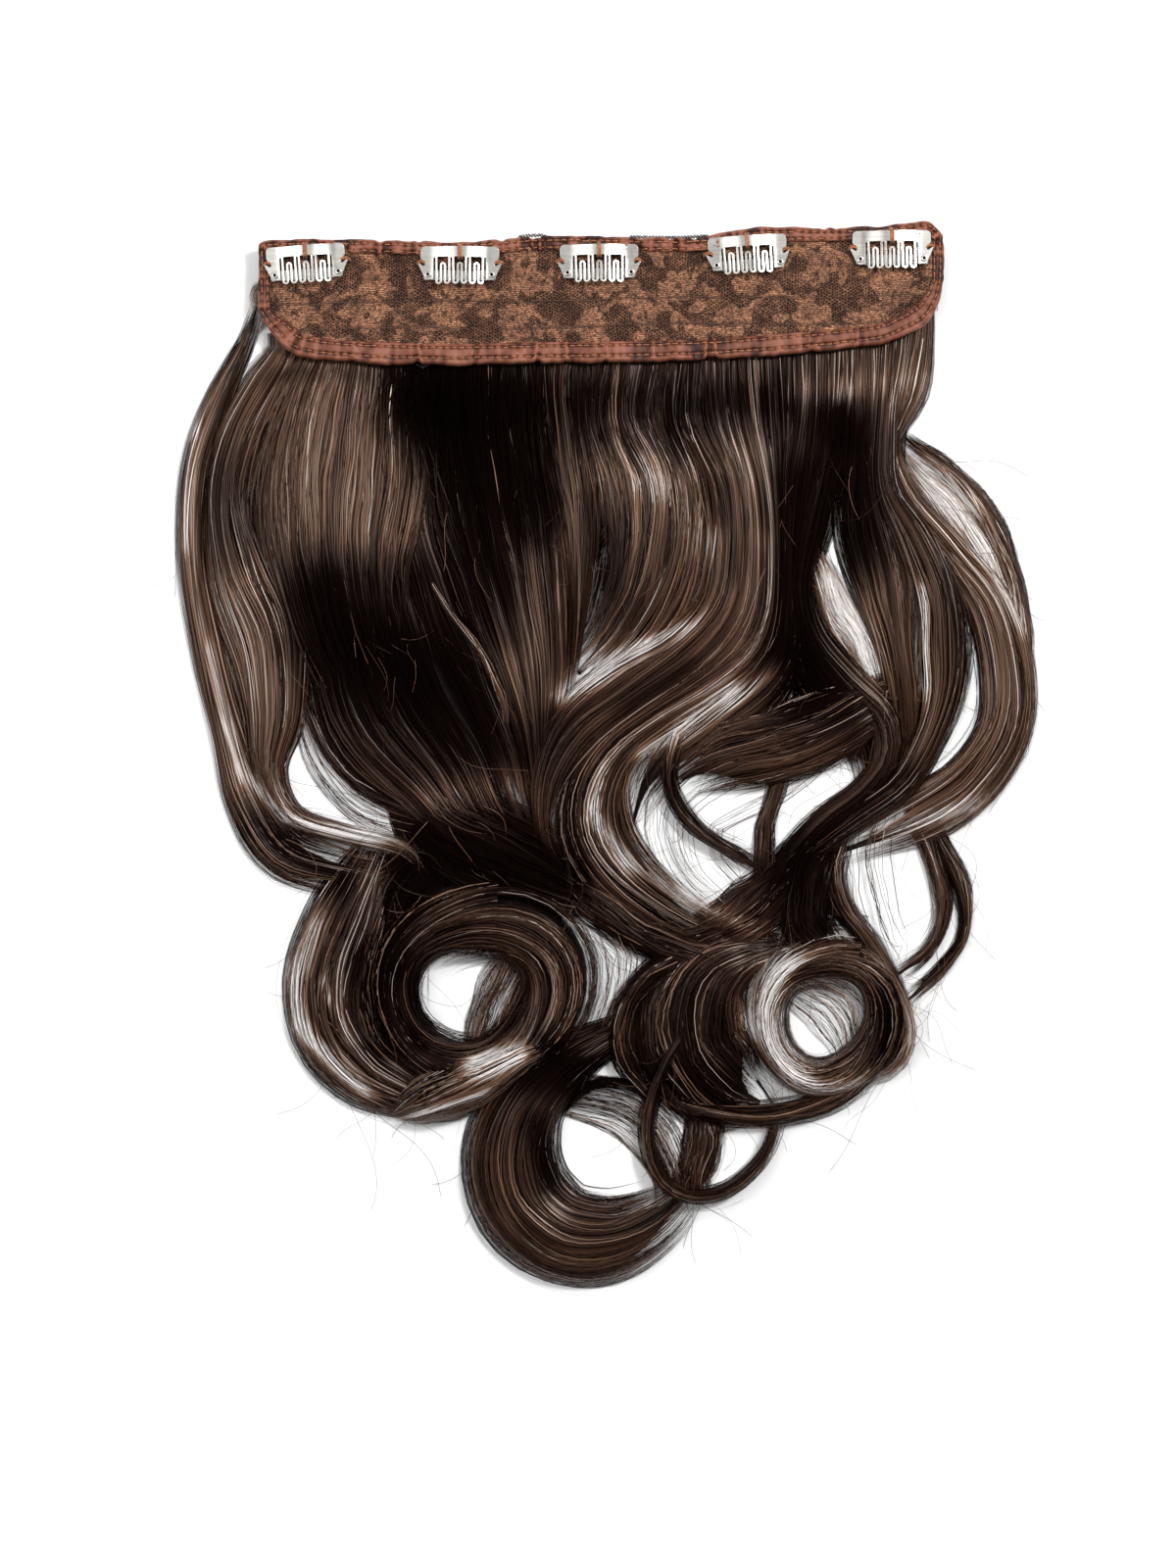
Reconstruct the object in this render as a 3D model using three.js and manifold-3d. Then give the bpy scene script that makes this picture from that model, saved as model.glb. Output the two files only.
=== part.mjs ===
// A one-piece clip-in hair extension, laid flat with its inner side up.
// Millimetres. +X runs along the base, +Y from the hair towards the base, +Z up from the table.
import * as THREE from "three";
import { mergeVertices } from "three/addons/utils/BufferGeometryUtils.js";
import Module from "manifold-3d";

const wasm = await Module();
wasm.setup();

// Driving sizes
const CLEARANCE = 0.3; // air left between two pieces that touch

const BASE_LENGTH = 262; // lace base, end to end
const BASE_HEIGHT = 48; // lace base, top edge to bottom edge
const ROOT_HEIGHT = 5; // mass of hair that the base lies on

const TRACK_WIDTH = 4; // a machine-sewn weft row
const TRACK_HEIGHT = 1.6;
const TRACK_END_MARGIN = 14; // from the end of the base to the end of a row

const CLOTH = 1; // one layer of the satin binding
const LACE = 1.2; // lace with its backing net
const BINDING_BOTTOM = 8; // width of the binding along the bottom edge
const BINDING_TOP = 5.5;
const BINDING_SIDE = 4;
const TUCK_RADIUS = 1.1; // a gathered fold in the binding
const TUCK_RISE = 0.8; // how far a fold stands above the cloth

const HAIR_LENGTH = 375; // cut length of the hair below the base
const HAIR_LOFT = 18; // height of the tallest curl above the table
const BACKING_INSET = 3; // the root mass stays this far inside the base's outline
const ROOT_DEPTH = 7; // how far a lock reaches up under the base

const CLIP_END_MARGIN = 18.6; // from the end of the base to the middle of the first comb
const CLIP_HALF_WIDTH = 14.9; // snap comb: middle to the side of its band
const CLIP_EAR = 15.8; // middle to the tip of an ear
const CLIP_TOP = 10.7; // rivet line to the top of the band
const BAND_HEIGHT = 4.1;
const BAND_CORNER = 1.8;
const STEEL = 0.7; // spring steel of the plate
const BAR_STEEL = 0.6;
const BAR_HEIGHT = 3.8;
const BOW = 1.5; // how far the plate's middle stands above its ends
const TOOTH_PITCH = 3.2;
const TOOTH_WIDTH = 2.6; // outside of one U-shaped tooth
const TOOTH_WIRE = 0.9; // width of the stamped strip
const TOOTH_REACH = 3.8; // rivet line to the bottom of a tooth
const ARCH_TOP = 4.7; // rivet line to the top of the arch between two teeth
const RIVET_SPACING = 24.2;
const RIVET_HOLE = 0.55; // radius of the hole through an eyelet
const RIVET_WALL = 0.3;
const RIVET_FLANGE = 1.3; // radius of the eyelet's rolled rim
const RIVET_RIM = 0.4; // thickness of that rim

// Levels above the table, each worked out from the one below it
const TRACK_LEVEL = ROOT_HEIGHT + CLEARANCE;
const BINDING_LEVEL = TRACK_LEVEL + TRACK_HEIGHT + CLEARANCE;
const LACE_LEVEL = BINDING_LEVEL + CLOTH + CLEARANCE;
const BINDING_THICKNESS = 2 * CLOTH + 2 * CLEARANCE + LACE;
const PLATE_LEVEL = BINDING_LEVEL + BINDING_THICKNESS + CLEARANCE;
const BAR_LEVEL = PLATE_LEVEL - CLEARANCE - BAR_STEEL;

// Edges of the base, left end to right end.
// along: share of its length from the middle. edge: share of its height above the middle.
const TOP_EDGE = [
  { along: -0.5, edge: 0.45 },
  { along: -0.48, edge: 0.48 },
  { along: -0.38, edge: 0.49 },
  { along: -0.2, edge: 0.47 },
  { along: -0.08, edge: 0.515 },
  { along: 0.12, edge: 0.5 },
  { along: 0.22, edge: 0.57 },
  { along: 0.4, edge: 0.59 },
  { along: 0.47, edge: 0.63 },
  { along: 0.495, edge: 0.52 },
];
const BOTTOM_EDGE = [
  { along: -0.5, edge: -0.1 },
  { along: -0.478, edge: -0.28 },
  { along: -0.43, edge: -0.45 },
  { along: -0.27, edge: -0.51 },
  { along: -0.08, edge: -0.5 },
  { along: 0.16, edge: -0.47 },
  { along: 0.38, edge: -0.37 },
  { along: 0.44, edge: -0.27 },
  { along: 0.48, edge: -0.12 },
  { along: 0.495, edge: 0.15 },
];

// Weft rows, from the top edge of the base to the bottom edge: share of the way between the two edges.
const TRACKS = [
  { name: "weft_track_1", down: 0.06, under: "binding" },
  { name: "weft_track_2", down: 0.36, under: "lace" },
  { name: "weft_track_3", down: 0.64, under: "lace" },
  { name: "weft_track_4", down: 0.94, under: "binding" },
];

// Gathered folds of the binding. along: share of the base's length. slant: degrees from straight across.
const TUCKS = [
  { along: -0.263, slant: 12, side: "bottom" },
  { along: -0.1, slant: -14, side: "bottom" },
  { along: 0.008, slant: 8, side: "bottom" },
  { along: 0.148, slant: -10, side: "bottom" },
  { along: 0.166, slant: 6, side: "bottom" },
  { along: 0.3, slant: -6, side: "bottom" },
  { along: -0.318, slant: 10, side: "top" },
  { along: -0.105, slant: -8, side: "top" },
  { along: 0.1, slant: 6, side: "top" },
  { along: 0.315, slant: -12, side: "top" },
];

// Snap combs. between: share of the way from the first comb's place to the same place at the other end.
// up: middle of the rivet line as a share of the base's height. tilt: degrees.
const CLIPS = [
  { between: 0, up: 0.209, tilt: 4 },
  { between: 0.26, up: 0.199, tilt: -0.3 },
  { between: 0.497, up: 0.216, tilt: 0.6 },
  { between: 0.75, up: 0.285, tilt: 3.5 },
  { between: 0.994, up: 0.324, tilt: 1 },
];

// Locks of hair. root: where it leaves the base, as shares of the base's length, if it starts there.
// under, over: its lowest and highest level as shares of the loft.
// Each section is [across, down, width] in thousandths of the hair's length, across from the middle of
// the base and down from its bottom edge.
const LOCKS = [
  {
    name: "left_rim", under: 0, over: 0.28,
    sections: [[-349, -75, 18], [-363, -29, 26], [-389, 27, 28], [-415, 105, 28], [-419, 195, 28],
      [-406, 277, 33], [-383, 373, 36], [-364, 443, 46], [-327, 497, 58], [-263, 517, 50],
      [-187, 527, 34]],
  },
  {
    name: "left_fall", root: [-0.485, -0.44], under: 0, over: 0.4,
    sections: [[-341, 15, 44], [-368, 70, 50], [-383, 133, 48], [-368, 213, 75], [-344, 275, 90],
      [-336, 350, 70], [-340, 413, 36], [-317, 458, 26], [-264, 477, 22], [-197, 496, 22],
      [-177, 525, 12]],
  },
  {
    name: "left_under", root: [-0.43, -0.26], under: 0, over: 0.3,
    sections: [[-245, 75, 140], [-240, 170, 150], [-222, 250, 175], [-197, 332, 212],
      [-145, 405, 172], [-105, 460, 105], [-70, 505, 50]],
  },
  {
    name: "left_panel", root: [-0.455, -0.261], under: 0, over: 0.5,
    sections: [[-260, 55, 160], [-266, 125, 182], [-265, 177, 166], [-255, 223, 130]],
  },
  {
    name: "centre_left", root: [-0.27, -0.07], under: 0, over: 0.4,
    sections: [[-119, 65, 120], [-105, 145, 130], [-88, 225, 115], [-73, 305, 85], [-67, 370, 45],
      [-65, 425, 22], [-61, 475, 20]],
  },
  {
    name: "centre_lock", root: [-0.1, -0.01], under: 0, over: 0.52,
    sections: [[-38, 55, 62], [-33, 103, 66], [-25, 165, 49], [-23, 225, 28], [-27, 285, 12],
      [-33, 335, 8]],
  },
  {
    name: "wave_upper", root: [-0.02, 0.11], under: 0, over: 0.45,
    sections: [[25, 55, 84], [51, 115, 98], [53, 177, 104], [39, 233, 100], [12, 277, 72],
      [-25, 313, 42]],
  },
  {
    name: "wave_lower", root: [0.105, 0.186], under: 0, over: 0.55,
    sections: [[103, 55, 70], [128, 120, 58], [133, 193, 58], [122, 247, 62], [87, 291, 62],
      [33, 335, 56], [-15, 373, 50], [-45, 413, 40], [-57, 451, 26], [-55, 483, 18],
      [-40, 513, 14]],
  },
  {
    name: "silver_wave", root: [0.183, 0.253], under: 0, over: 0.5,
    sections: [[157, 55, 38], [169, 125, 26], [172, 200, 22], [168, 257, 28], [150, 295, 44],
      [107, 330, 44], [57, 360, 48], [13, 393, 58], [-8, 433, 72], [-7, 475, 80], [17, 515, 76],
      [60, 550, 62], [110, 577, 50], [155, 597, 30]],
  },
  {
    name: "right_pinch", root: [0.243, 0.318], under: 0, over: 0.42,
    sections: [[196, 55, 48], [189, 125, 26], [188, 185, 20], [187, 245, 30], [185, 285, 60],
      [160, 325, 75], [130, 355, 60], [100, 383, 35]],
  },
  {
    name: "cross_band", under: 0.2, over: 0.55,
    sections: [[315, 305, 40], [285, 337, 50], [235, 367, 46], [180, 378, 32], [130, 385, 28],
      [90, 403, 22]],
  },
  {
    name: "hook", under: 0.1, over: 0.45,
    sections: [[110, 333, 30], [78, 375, 24], [68, 420, 16], [77, 449, 16], [100, 475, 16],
      [137, 497, 16], [173, 522, 12]],
  },
  {
    name: "right_cross", root: [0.316, 0.364], under: 0, over: 0.5,
    sections: [[235, 45, 36], [227, 105, 38], [213, 165, 36], [203, 225, 26], [215, 275, 36],
      [251, 322, 44], [285, 360, 44], [288, 400, 36], [265, 433, 34], [225, 463, 36],
      [193, 497, 36], [175, 537, 34], [165, 590, 28]],
  },
  {
    name: "right_mid", root: [0.357, 0.414], under: 0, over: 0.45,
    sections: [[269, 55, 44], [265, 115, 48], [273, 170, 66], [287, 230, 66], [297, 285, 44],
      [305, 340, 34], [307, 390, 28], [297, 425, 24]],
  },
  {
    name: "right_outer", root: [0.4, 0.457], under: 0, over: 0.55,
    sections: [[290, 65, 30], [293, 125, 30], [320, 173, 40], [342, 230, 52], [346, 285, 60],
      [345, 330, 52], [330, 380, 38], [305, 425, 36], [257, 461, 34], [207, 497, 32],
      [170, 530, 26]],
  },
  {
    name: "bulge", root: [0.443, 0.481], under: 0, over: 0.4,
    sections: [[310, 25, 40], [293, 80, 22], [310, 135, 30], [353, 188, 40], [395, 243, 50],
      [413, 305, 56], [410, 370, 58], [375, 425, 62], [325, 460, 64], [270, 485, 44],
      [235, 497, 40]],
  },
  {
    name: "bulge_rim", under: 0, over: 0.22,
    sections: [[300, 66, 12], [349, 103, 20], [389, 150, 24], [416, 210, 20], [430, 270, 18],
      [434, 325, 14]],
  },
  {
    name: "tail_inner", under: 0, over: 0.35,
    sections: [[323, 415, 24], [320, 455, 22], [334, 495, 22], [346, 535, 20], [345, 570, 16],
      [329, 598, 18], [297, 623, 20]],
  },
  {
    name: "tail_outer", under: 0, over: 0.28,
    sections: [[330, 430, 18], [338, 473, 20], [360, 515, 20], [370, 553, 15], [366, 585, 13],
      [345, 613, 15], [308, 650, 18]],
  },
  {
    name: "loop_left", under: 0, over: 0.35,
    sections: [[247, 470, 30], [235, 515, 26], [247, 553, 24], [273, 590, 22], [297, 625, 18],
      [315, 663, 14]],
  },
  {
    name: "right_mass", under: 0, over: 0.45,
    sections: [[230, 475, 50], [210, 520, 60], [207, 565, 55], [235, 600, 40]],
  },
  {
    name: "silver_right", under: 0, over: 0.4,
    sections: [[242, 580, 14], [280, 612, 18], [305, 650, 16], [311, 685, 16], [295, 715, 18],
      [267, 728, 14]],
  },
  {
    name: "low_band", under: 0, over: 0.55,
    sections: [[40, 729, 16], [87, 755, 24], [145, 764, 26], [205, 757, 27], [253, 733, 30],
      [278, 695, 28], [281, 647, 22], [264, 605, 20]],
  },
  {
    name: "wave_left", under: 0, over: 0.5,
    sections: [[-215, 505, 40], [-243, 535, 70], [-262, 575, 92], [-277, 630, 98],
      [-270, 680, 94], [-243, 715, 80], [-203, 738, 62], [-155, 758, 34]],
  },
  {
    name: "roll", under: 0.1, over: 1,
    sections: [[-35, 687, 12], [-75, 697, 40], [-120, 720, 62], [-160, 737, 66], [-195, 753, 44],
      [-212, 762, 16]],
  },
  {
    name: "bottom_curl", under: 0, over: 0.75,
    sections: [[0, 690, 40], [-43, 717, 54], [-80, 755, 80], [-95, 807, 96], [-85, 857, 100],
      [-50, 887, 92], [0, 891, 88], [47, 881, 66], [85, 847, 24]],
  },
  {
    name: "arch", under: 0, over: 0.35,
    sections: [[-43, 763, 12], [-17, 735, 12], [25, 732, 13], [53, 753, 12]],
  },
  {
    name: "small_ring", under: 0, over: 0.6,
    sections: [[110, 595, 30], [60, 613, 30], [27, 645, 28], [19, 685, 28], [32, 722, 26],
      [57, 747, 24]],
  },
  {
    name: "tangle", under: 0, over: 0.42,
    sections: [[105, 600, 110], [97, 655, 120], [105, 705, 120], [130, 743, 85]],
  },
  {
    name: "thin_ring", under: 0, over: 0.55,
    sections: [[135, 632, 16], [91, 668, 18], [66, 705, 18], [49, 747, 16], [46, 790, 16],
      [59, 826, 18], [85, 845, 17], [123, 841, 17], [153, 818, 18], [171, 787, 17],
      [174, 755, 18], [157, 728, 18]],
  },
  {
    name: "inner_fall", under: 0, over: 0.35,
    sections: [[101, 750, 36], [103, 790, 38], [94, 827, 36], [97, 850, 20]],
  },
  {
    name: "knot", under: 0, over: 0.4,
    sections: [[-55, 505, 40], [-5, 545, 50], [45, 580, 45], [105, 600, 50], [165, 600, 50]],
  },
  {
    name: "shade", under: 0, over: 0.25,
    sections: [[-215, 480, 50], [-145, 480, 90], [-85, 500, 80], [-30, 530, 50]],
  },
];

// Locks that close on themselves, in the same units.
const CURLS = [
  { name: "ring_left", across: -120, down: 628, radiusX: 80, radiusY: 81, width: 62, over: 0.85 },
  { name: "ring_right", across: 217, down: 667, radiusX: 61, radiusY: 76, width: 34, over: 0.8 },
];

const COLOURS = {
  hair: { color: "#4b3a33", roughness: 0.45, metalness: 0 },
  lace: { color: "#8f6d4b", roughness: 0.85, metalness: 0 },
  binding: { color: "#8a4a3a", roughness: 0.6, metalness: 0 },
  track: { color: "#17120f", roughness: 0.8, metalness: 0 },
  steel: { color: "#c9c9c6", roughness: 0.25, metalness: 1 },
};

const group = new THREE.Group();

function addMesh(name, geometry, look, parent = group) {
  const mesh = new THREE.Mesh(geometry, new THREE.MeshStandardMaterial(COLOURS[look]));
  mesh.name = name;
  parent.add(mesh);
  return mesh;
}

// A closed geometry as a solid that can be joined and cut.
function solidOf(geometry) {
  const bare = new THREE.BufferGeometry();
  bare.setAttribute("position", geometry.getAttribute("position"));
  if (geometry.index) bare.setIndex(geometry.index);
  const merged = mergeVertices(bare, 1e-4);
  const vertProperties = merged.attributes.position.array;
  const triVerts = new Uint32Array(merged.index.array);
  return new wasm.Manifold(new wasm.Mesh({ numProp: 3, vertProperties, triVerts }));
}

function geometryOf(solid) {
  const { vertProperties, triVerts } = solid.getMesh();
  const geometry = new THREE.BufferGeometry();
  geometry.setAttribute("position", new THREE.BufferAttribute(new Float32Array(vertProperties), 3));
  geometry.setIndex(new THREE.BufferAttribute(new Uint32Array(triVerts), 1));
  geometry.computeVertexNormals();
  return geometry;
}

// A flat shape raised to a given height, from a given level.
function prism(shape, level, height) {
  const geometry = new THREE.ExtrudeGeometry(shape, { depth: height, bevelEnabled: false });
  return geometry.translate(0, 0, level);
}

// Base

const edgeCurve = (rows) =>
  new THREE.SplineCurve(
    rows.map(({ along, edge }) => new THREE.Vector2(along * BASE_LENGTH, edge * BASE_HEIGHT)),
  );
const topEdge = edgeCurve(TOP_EDGE);
const bottomEdge = edgeCurve(BOTTOM_EDGE);
const BASE_LEFT = TOP_EDGE[0].along * BASE_LENGTH;
const BASE_RIGHT = TOP_EDGE.at(-1).along * BASE_LENGTH;
const EDGE_STEPS = 16;
const INSET_BLEND = 0.15; // share of an edge over which its inset changes to the side's

// The base's outline, moved inwards by a distance of its own at the top, bottom and sides.
// Near the ends the top and bottom distances run over into the side's.
function baseShape({ top, bottom, side }) {
  const insetEdge = (curve, middleInset, inward) =>
    Array.from({ length: EDGE_STEPS + 1 }, (_, i) => {
      const t = i / EDGE_STEPS;
      const point = curve.getPoint(t);
      const tangent = curve.getTangent(t);
      const fromEnd = THREE.MathUtils.smoothstep(Math.min(t, 1 - t), 0, INSET_BLEND);
      const inset = THREE.MathUtils.lerp(side, middleInset, fromEnd) * inward;
      const x = THREE.MathUtils.clamp(point.x - tangent.y * inset, BASE_LEFT + side, BASE_RIGHT - side);
      return new THREE.Vector2(x, point.y + tangent.x * inset);
    });
  const loop = [...insetEdge(bottomEdge, bottom, 1), ...insetEdge(topEdge, top, -1).reverse()];
  const spaced = loop.filter((p, i) => p.distanceTo(loop.at(i - 1)) > CLEARANCE);
  const next = (i) => spaced[(i + 1) % spaced.length];
  return new THREE.Shape(spaced.filter((p, i) => bends(spaced.at(i - 1), p, next(i))));
}

// Whether a corner turns at all: a point in the middle of a straight run doesn't.
function bends(before, corner, after) {
  const into = corner.clone().sub(before).normalize();
  const out = after.clone().sub(corner).normalize();
  return Math.abs(into.cross(out)) > 1e-4;
}

const evenInset = (inset) => ({ top: inset, bottom: inset, side: inset });

function edgeAt(curve, x) {
  let low = 0;
  let high = 1;
  while (high - low > 1e-4) {
    const middle = (low + high) / 2;
    if (curve.getPoint(middle).x < x) low = middle;
    else high = middle;
  }
  return curve.getPoint(low).y;
}

function tuckSolid({ along, slant, side }) {
  const isTop = side === "top";
  const width = isTop ? BINDING_TOP : BINDING_BOTTOM;
  const x = along * BASE_LENGTH;
  const edge = edgeAt(isTop ? topEdge : bottomEdge, x);
  const y = edge + (isTop ? -width / 2 : width / 2);
  const length = width - 2 * TUCK_RADIUS;
  const geometry = new THREE.CapsuleGeometry(TUCK_RADIUS, length, 1, 6, 1);
  geometry.rotateZ(THREE.MathUtils.degToRad(slant));
  geometry.scale(1, 1, TUCK_RISE / TUCK_RADIUS);
  return solidOf(geometry.translate(x, y, BINDING_LEVEL + BINDING_THICKNESS));
}

function bindingGeometry() {
  const outside = solidOf(prism(baseShape(evenInset(0)), BINDING_LEVEL, BINDING_THICKNESS));
  const opening = { top: BINDING_TOP, bottom: BINDING_BOTTOM, side: BINDING_SIDE };
  const window = solidOf(prism(baseShape(opening), BINDING_LEVEL - 1, BINDING_THICKNESS + 2));
  const slotHeight = BINDING_THICKNESS - 2 * CLOTH;
  const slot = solidOf(prism(baseShape(evenInset(CLOTH)), BINDING_LEVEL + CLOTH, slotHeight));
  const folded = outside.subtract(window).subtract(slot);
  const tucks = TUCKS.map(tuckSolid);
  return geometryOf(tucks.reduce((whole, tuck) => whole.add(tuck), folded));
}

function trackShape(down) {
  const left = BASE_LEFT + TRACK_END_MARGIN;
  const right = BASE_RIGHT - TRACK_END_MARGIN;
  const steps = 8;
  const upper = [];
  const lower = [];
  for (let i = 0; i <= steps; i++) {
    const x = THREE.MathUtils.lerp(left, right, i / steps);
    const room = TRACK_WIDTH / 2 + CLOTH;
    const y = THREE.MathUtils.lerp(edgeAt(topEdge, x) - room, edgeAt(bottomEdge, x) + room, down);
    upper.push(new THREE.Vector2(x, y + TRACK_WIDTH / 2));
    lower.push(new THREE.Vector2(x, y - TRACK_WIDTH / 2));
  }
  return new THREE.Shape([...lower, ...upper.reverse()]);
}

addMesh("lace_panel", prism(baseShape(evenInset(CLOTH + CLEARANCE)), LACE_LEVEL, LACE), "lace");
addMesh("edge_binding", bindingGeometry(), "binding");
for (const { name, down, under } of TRACKS) {
  const ceiling = under === "lace" ? LACE_LEVEL : BINDING_LEVEL;
  addMesh(name, prism(trackShape(down), TRACK_LEVEL, ceiling - CLEARANCE - TRACK_LEVEL), "track");
}

// Snap combs

const arc = (x, y, radius, from, to, steps) =>
  Array.from({ length: steps + 1 }, (_, i) => {
    const angle = THREE.MathUtils.degToRad(THREE.MathUtils.lerp(from, to, i / steps));
    return new THREE.Vector2(x + radius * Math.cos(angle), y + radius * Math.sin(angle));
  });
const points = (...pairs) => pairs.map(([x, y]) => new THREE.Vector2(x, y));
const mirrored = (list) => list.map((p) => new THREE.Vector2(-p.x, p.y)).reverse();

const BAND_BOTTOM = CLIP_TOP - BAND_HEIGHT;
const BAR_TOP = BAR_HEIGHT * 0.45;
const BAR_BOTTOM = BAR_TOP - BAR_HEIGHT;
const TOOTH_OUTER = TOOTH_WIDTH / 2;
const TOOTH_INNER = TOOTH_OUTER - TOOTH_WIRE;
const TOOTH_CENTRE = TOOTH_OUTER - TOOTH_REACH; // height of the round end's middle
const ARCH_INNER = TOOTH_PITCH / 2 - TOOTH_OUTER;
const ARCH_OUTER = ARCH_INNER + TOOTH_WIRE;
const ARCH_CENTRE = ARCH_TOP - ARCH_OUTER;
const ARCH_SPACING = 2 * TOOTH_PITCH;
const OUTER_LEG = -2.5 * TOOTH_PITCH - TOOTH_OUTER; // outside of the first tooth
const ARM_INSIDE = OUTER_LEG - 2 * ARCH_INNER;
const SLIT_TOP = BAND_BOTTOM - CLEARANCE;
const RIVET_X = RIVET_SPACING / 2;
const RIVET_SHANK = RIVET_HOLE + RIVET_WALL;
const RIVET_CLEAR = RIVET_SHANK + CLEARANCE;
const ROUND_SIDES = 8;

const toothEnd = (x) => arc(x, TOOTH_CENTRE, TOOTH_OUTER, 180, 360, 3);
const underArch = (x) => arc(x, ARCH_CENTRE, ARCH_INNER, 180, 0, 2);

// Half of the plate's outline, from the middle of the band round its left side to the middle below.
function plateHalf() {
  const side = -CLIP_HALF_WIDTH;
  const notch = CLIP_EAR - CLIP_HALF_WIDTH; // how far the ear stands out past the band
  const first = -2.5 * TOOTH_PITCH;
  return [
    ...arc(side + BAND_CORNER, CLIP_TOP - BAND_CORNER, BAND_CORNER, 90, 180, 2),
    ...points([side, BAND_BOTTOM - notch], [side + 1.6, 4.3], [side + 1.7, 3.7], [side + 1.1, 3.2]),
    ...points([-CLIP_EAR, 4.3], [-CLIP_EAR + 0.1, 3.8]),
    ...points([-RIVET_X - 1.8, -0.3], [-RIVET_X - 1.2, -1.5], [-RIVET_X - 0.1, BAR_BOTTOM]),
    ...points([ARM_INSIDE, BAR_BOTTOM], [ARM_INSIDE, SLIT_TOP], [OUTER_LEG, SLIT_TOP]),
    ...toothEnd(first),
    ...underArch(first + TOOTH_PITCH / 2),
    ...toothEnd(first + TOOTH_PITCH),
    ...points([-TOOTH_PITCH - ARCH_INNER, SLIT_TOP], [-TOOTH_PITCH + ARCH_INNER, SLIT_TOP]),
    ...toothEnd(first + 2 * TOOTH_PITCH),
    ...arc(0, ARCH_CENTRE, ARCH_INNER, 180, 135, 1),
  ];
}

// The window between two long legs, with its two prongs reaching down inside the teeth.
function combWindow(x) {
  const tooth = TOOTH_PITCH / 2;
  const reach = tooth + TOOTH_INNER;
  return new THREE.Path([
    ...points([x - reach, BAND_BOTTOM]),
    ...arc(x - tooth, TOOTH_CENTRE, TOOTH_INNER, 180, 360, 2),
    ...arc(x, ARCH_CENTRE, ARCH_OUTER, 180, 0, 3),
    ...arc(x + tooth, TOOTH_CENTRE, TOOTH_INNER, 180, 360, 2),
    ...points([x + reach, BAND_BOTTOM]),
  ]);
}

const rivetHole = (x) => new THREE.Path(arc(x, 0, RIVET_CLEAR, 0, 360, ROUND_SIDES).slice(1));

function plateShape() {
  const half = plateHalf();
  const shape = new THREE.Shape([...half, ...mirrored(half)]);
  shape.holes = [
    ...[-ARCH_SPACING, 0, ARCH_SPACING].map(combWindow),
    ...[-RIVET_X, RIVET_X].map(rivetHole),
  ];
  return shape;
}

// The bowed sheet that the plate is stamped from, seen along Y. Its bends fall between the teeth.
function bowedSheet() {
  const bends = [
    [ARM_INSIDE, 0],
    [-ARCH_SPACING, 0.55],
    [-TOOTH_PITCH, 1],
  ];
  const left = points([-CLIP_EAR - 1, 0], ...bends.map(([x, rise]) => [x, rise * BOW]));
  const under = [...left, ...mirrored(left)];
  const over = under.map((p) => new THREE.Vector2(p.x, p.y + STEEL)).reverse();
  const geometry = prism(new THREE.Shape([...under, ...over]), -CLIP_EAR, 2 * CLIP_EAR);
  return solidOf(geometry.rotateX(Math.PI / 2).translate(0, 0, PLATE_LEVEL));
}

function plateGeometry() {
  const stamped = solidOf(prism(plateShape(), PLATE_LEVEL - 1, BOW + STEEL + 2));
  return geometryOf(stamped.intersect(bowedSheet()));
}

function barShape() {
  const end = RIVET_X + 1.6;
  const corner = 0.8;
  const half = [
    ...arc(-end + corner, BAR_TOP - corner, corner, 90, 180, 2),
    ...arc(-end + corner, BAR_BOTTOM + corner, corner, 180, 270, 2),
  ];
  const shape = new THREE.Shape([...half, ...mirrored(half)]);
  shape.holes = [-RIVET_X, RIVET_X].map(rivetHole);
  return shape;
}

// A hollow rivet: its shank passes through plate and bar, and its rolled rim holds them down.
function eyeletGeometry() {
  const rim = PLATE_LEVEL + STEEL + CLEARANCE;
  const profile = points(
    [RIVET_HOLE, BAR_LEVEL],
    [RIVET_SHANK, BAR_LEVEL],
    [RIVET_SHANK, rim],
    [RIVET_FLANGE, rim],
    [RIVET_HOLE, rim + RIVET_RIM],
    [RIVET_HOLE, BAR_LEVEL],
  );
  return new THREE.LatheGeometry(profile, ROUND_SIDES).rotateX(Math.PI / 2);
}

const plate = plateGeometry();
const bar = prism(barShape(), BAR_LEVEL, BAR_STEEL);
const eyelet = eyeletGeometry();
CLIPS.forEach(({ between, up, tilt }, i) => {
  const name = `clip_${i + 1}`;
  const clip = new THREE.Group();
  const x = THREE.MathUtils.lerp(BASE_LEFT + CLIP_END_MARGIN, BASE_RIGHT - CLIP_END_MARGIN, between);
  clip.position.set(x, up * BASE_HEIGHT, 0);
  clip.rotation.z = THREE.MathUtils.degToRad(tilt);
  addMesh(`${name}_plate`, plate, "steel", clip);
  addMesh(`${name}_bar`, bar, "steel", clip);
  addMesh(`${name}_eyelet_left`, eyelet, "steel", clip).position.x = -RIVET_X;
  addMesh(`${name}_eyelet_right`, eyelet, "steel", clip).position.x = RIVET_X;
  group.add(clip);
});

// Hair

const HAIR_UNIT = HAIR_LENGTH / 1000;
const TIP_LOFT = 0.45; // share of a lock's height that is left at its tip

// The cross-section of a lock: across as a share of its width, height as a share of its own.
const LOCK_PROFILE = [
  { across: -0.5, height: 0 },
  { across: 0.5, height: 0 },
  { across: 0.34, height: 0.8 },
  { across: 0, height: 1 },
  { across: -0.34, height: 0.8 },
];

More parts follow.
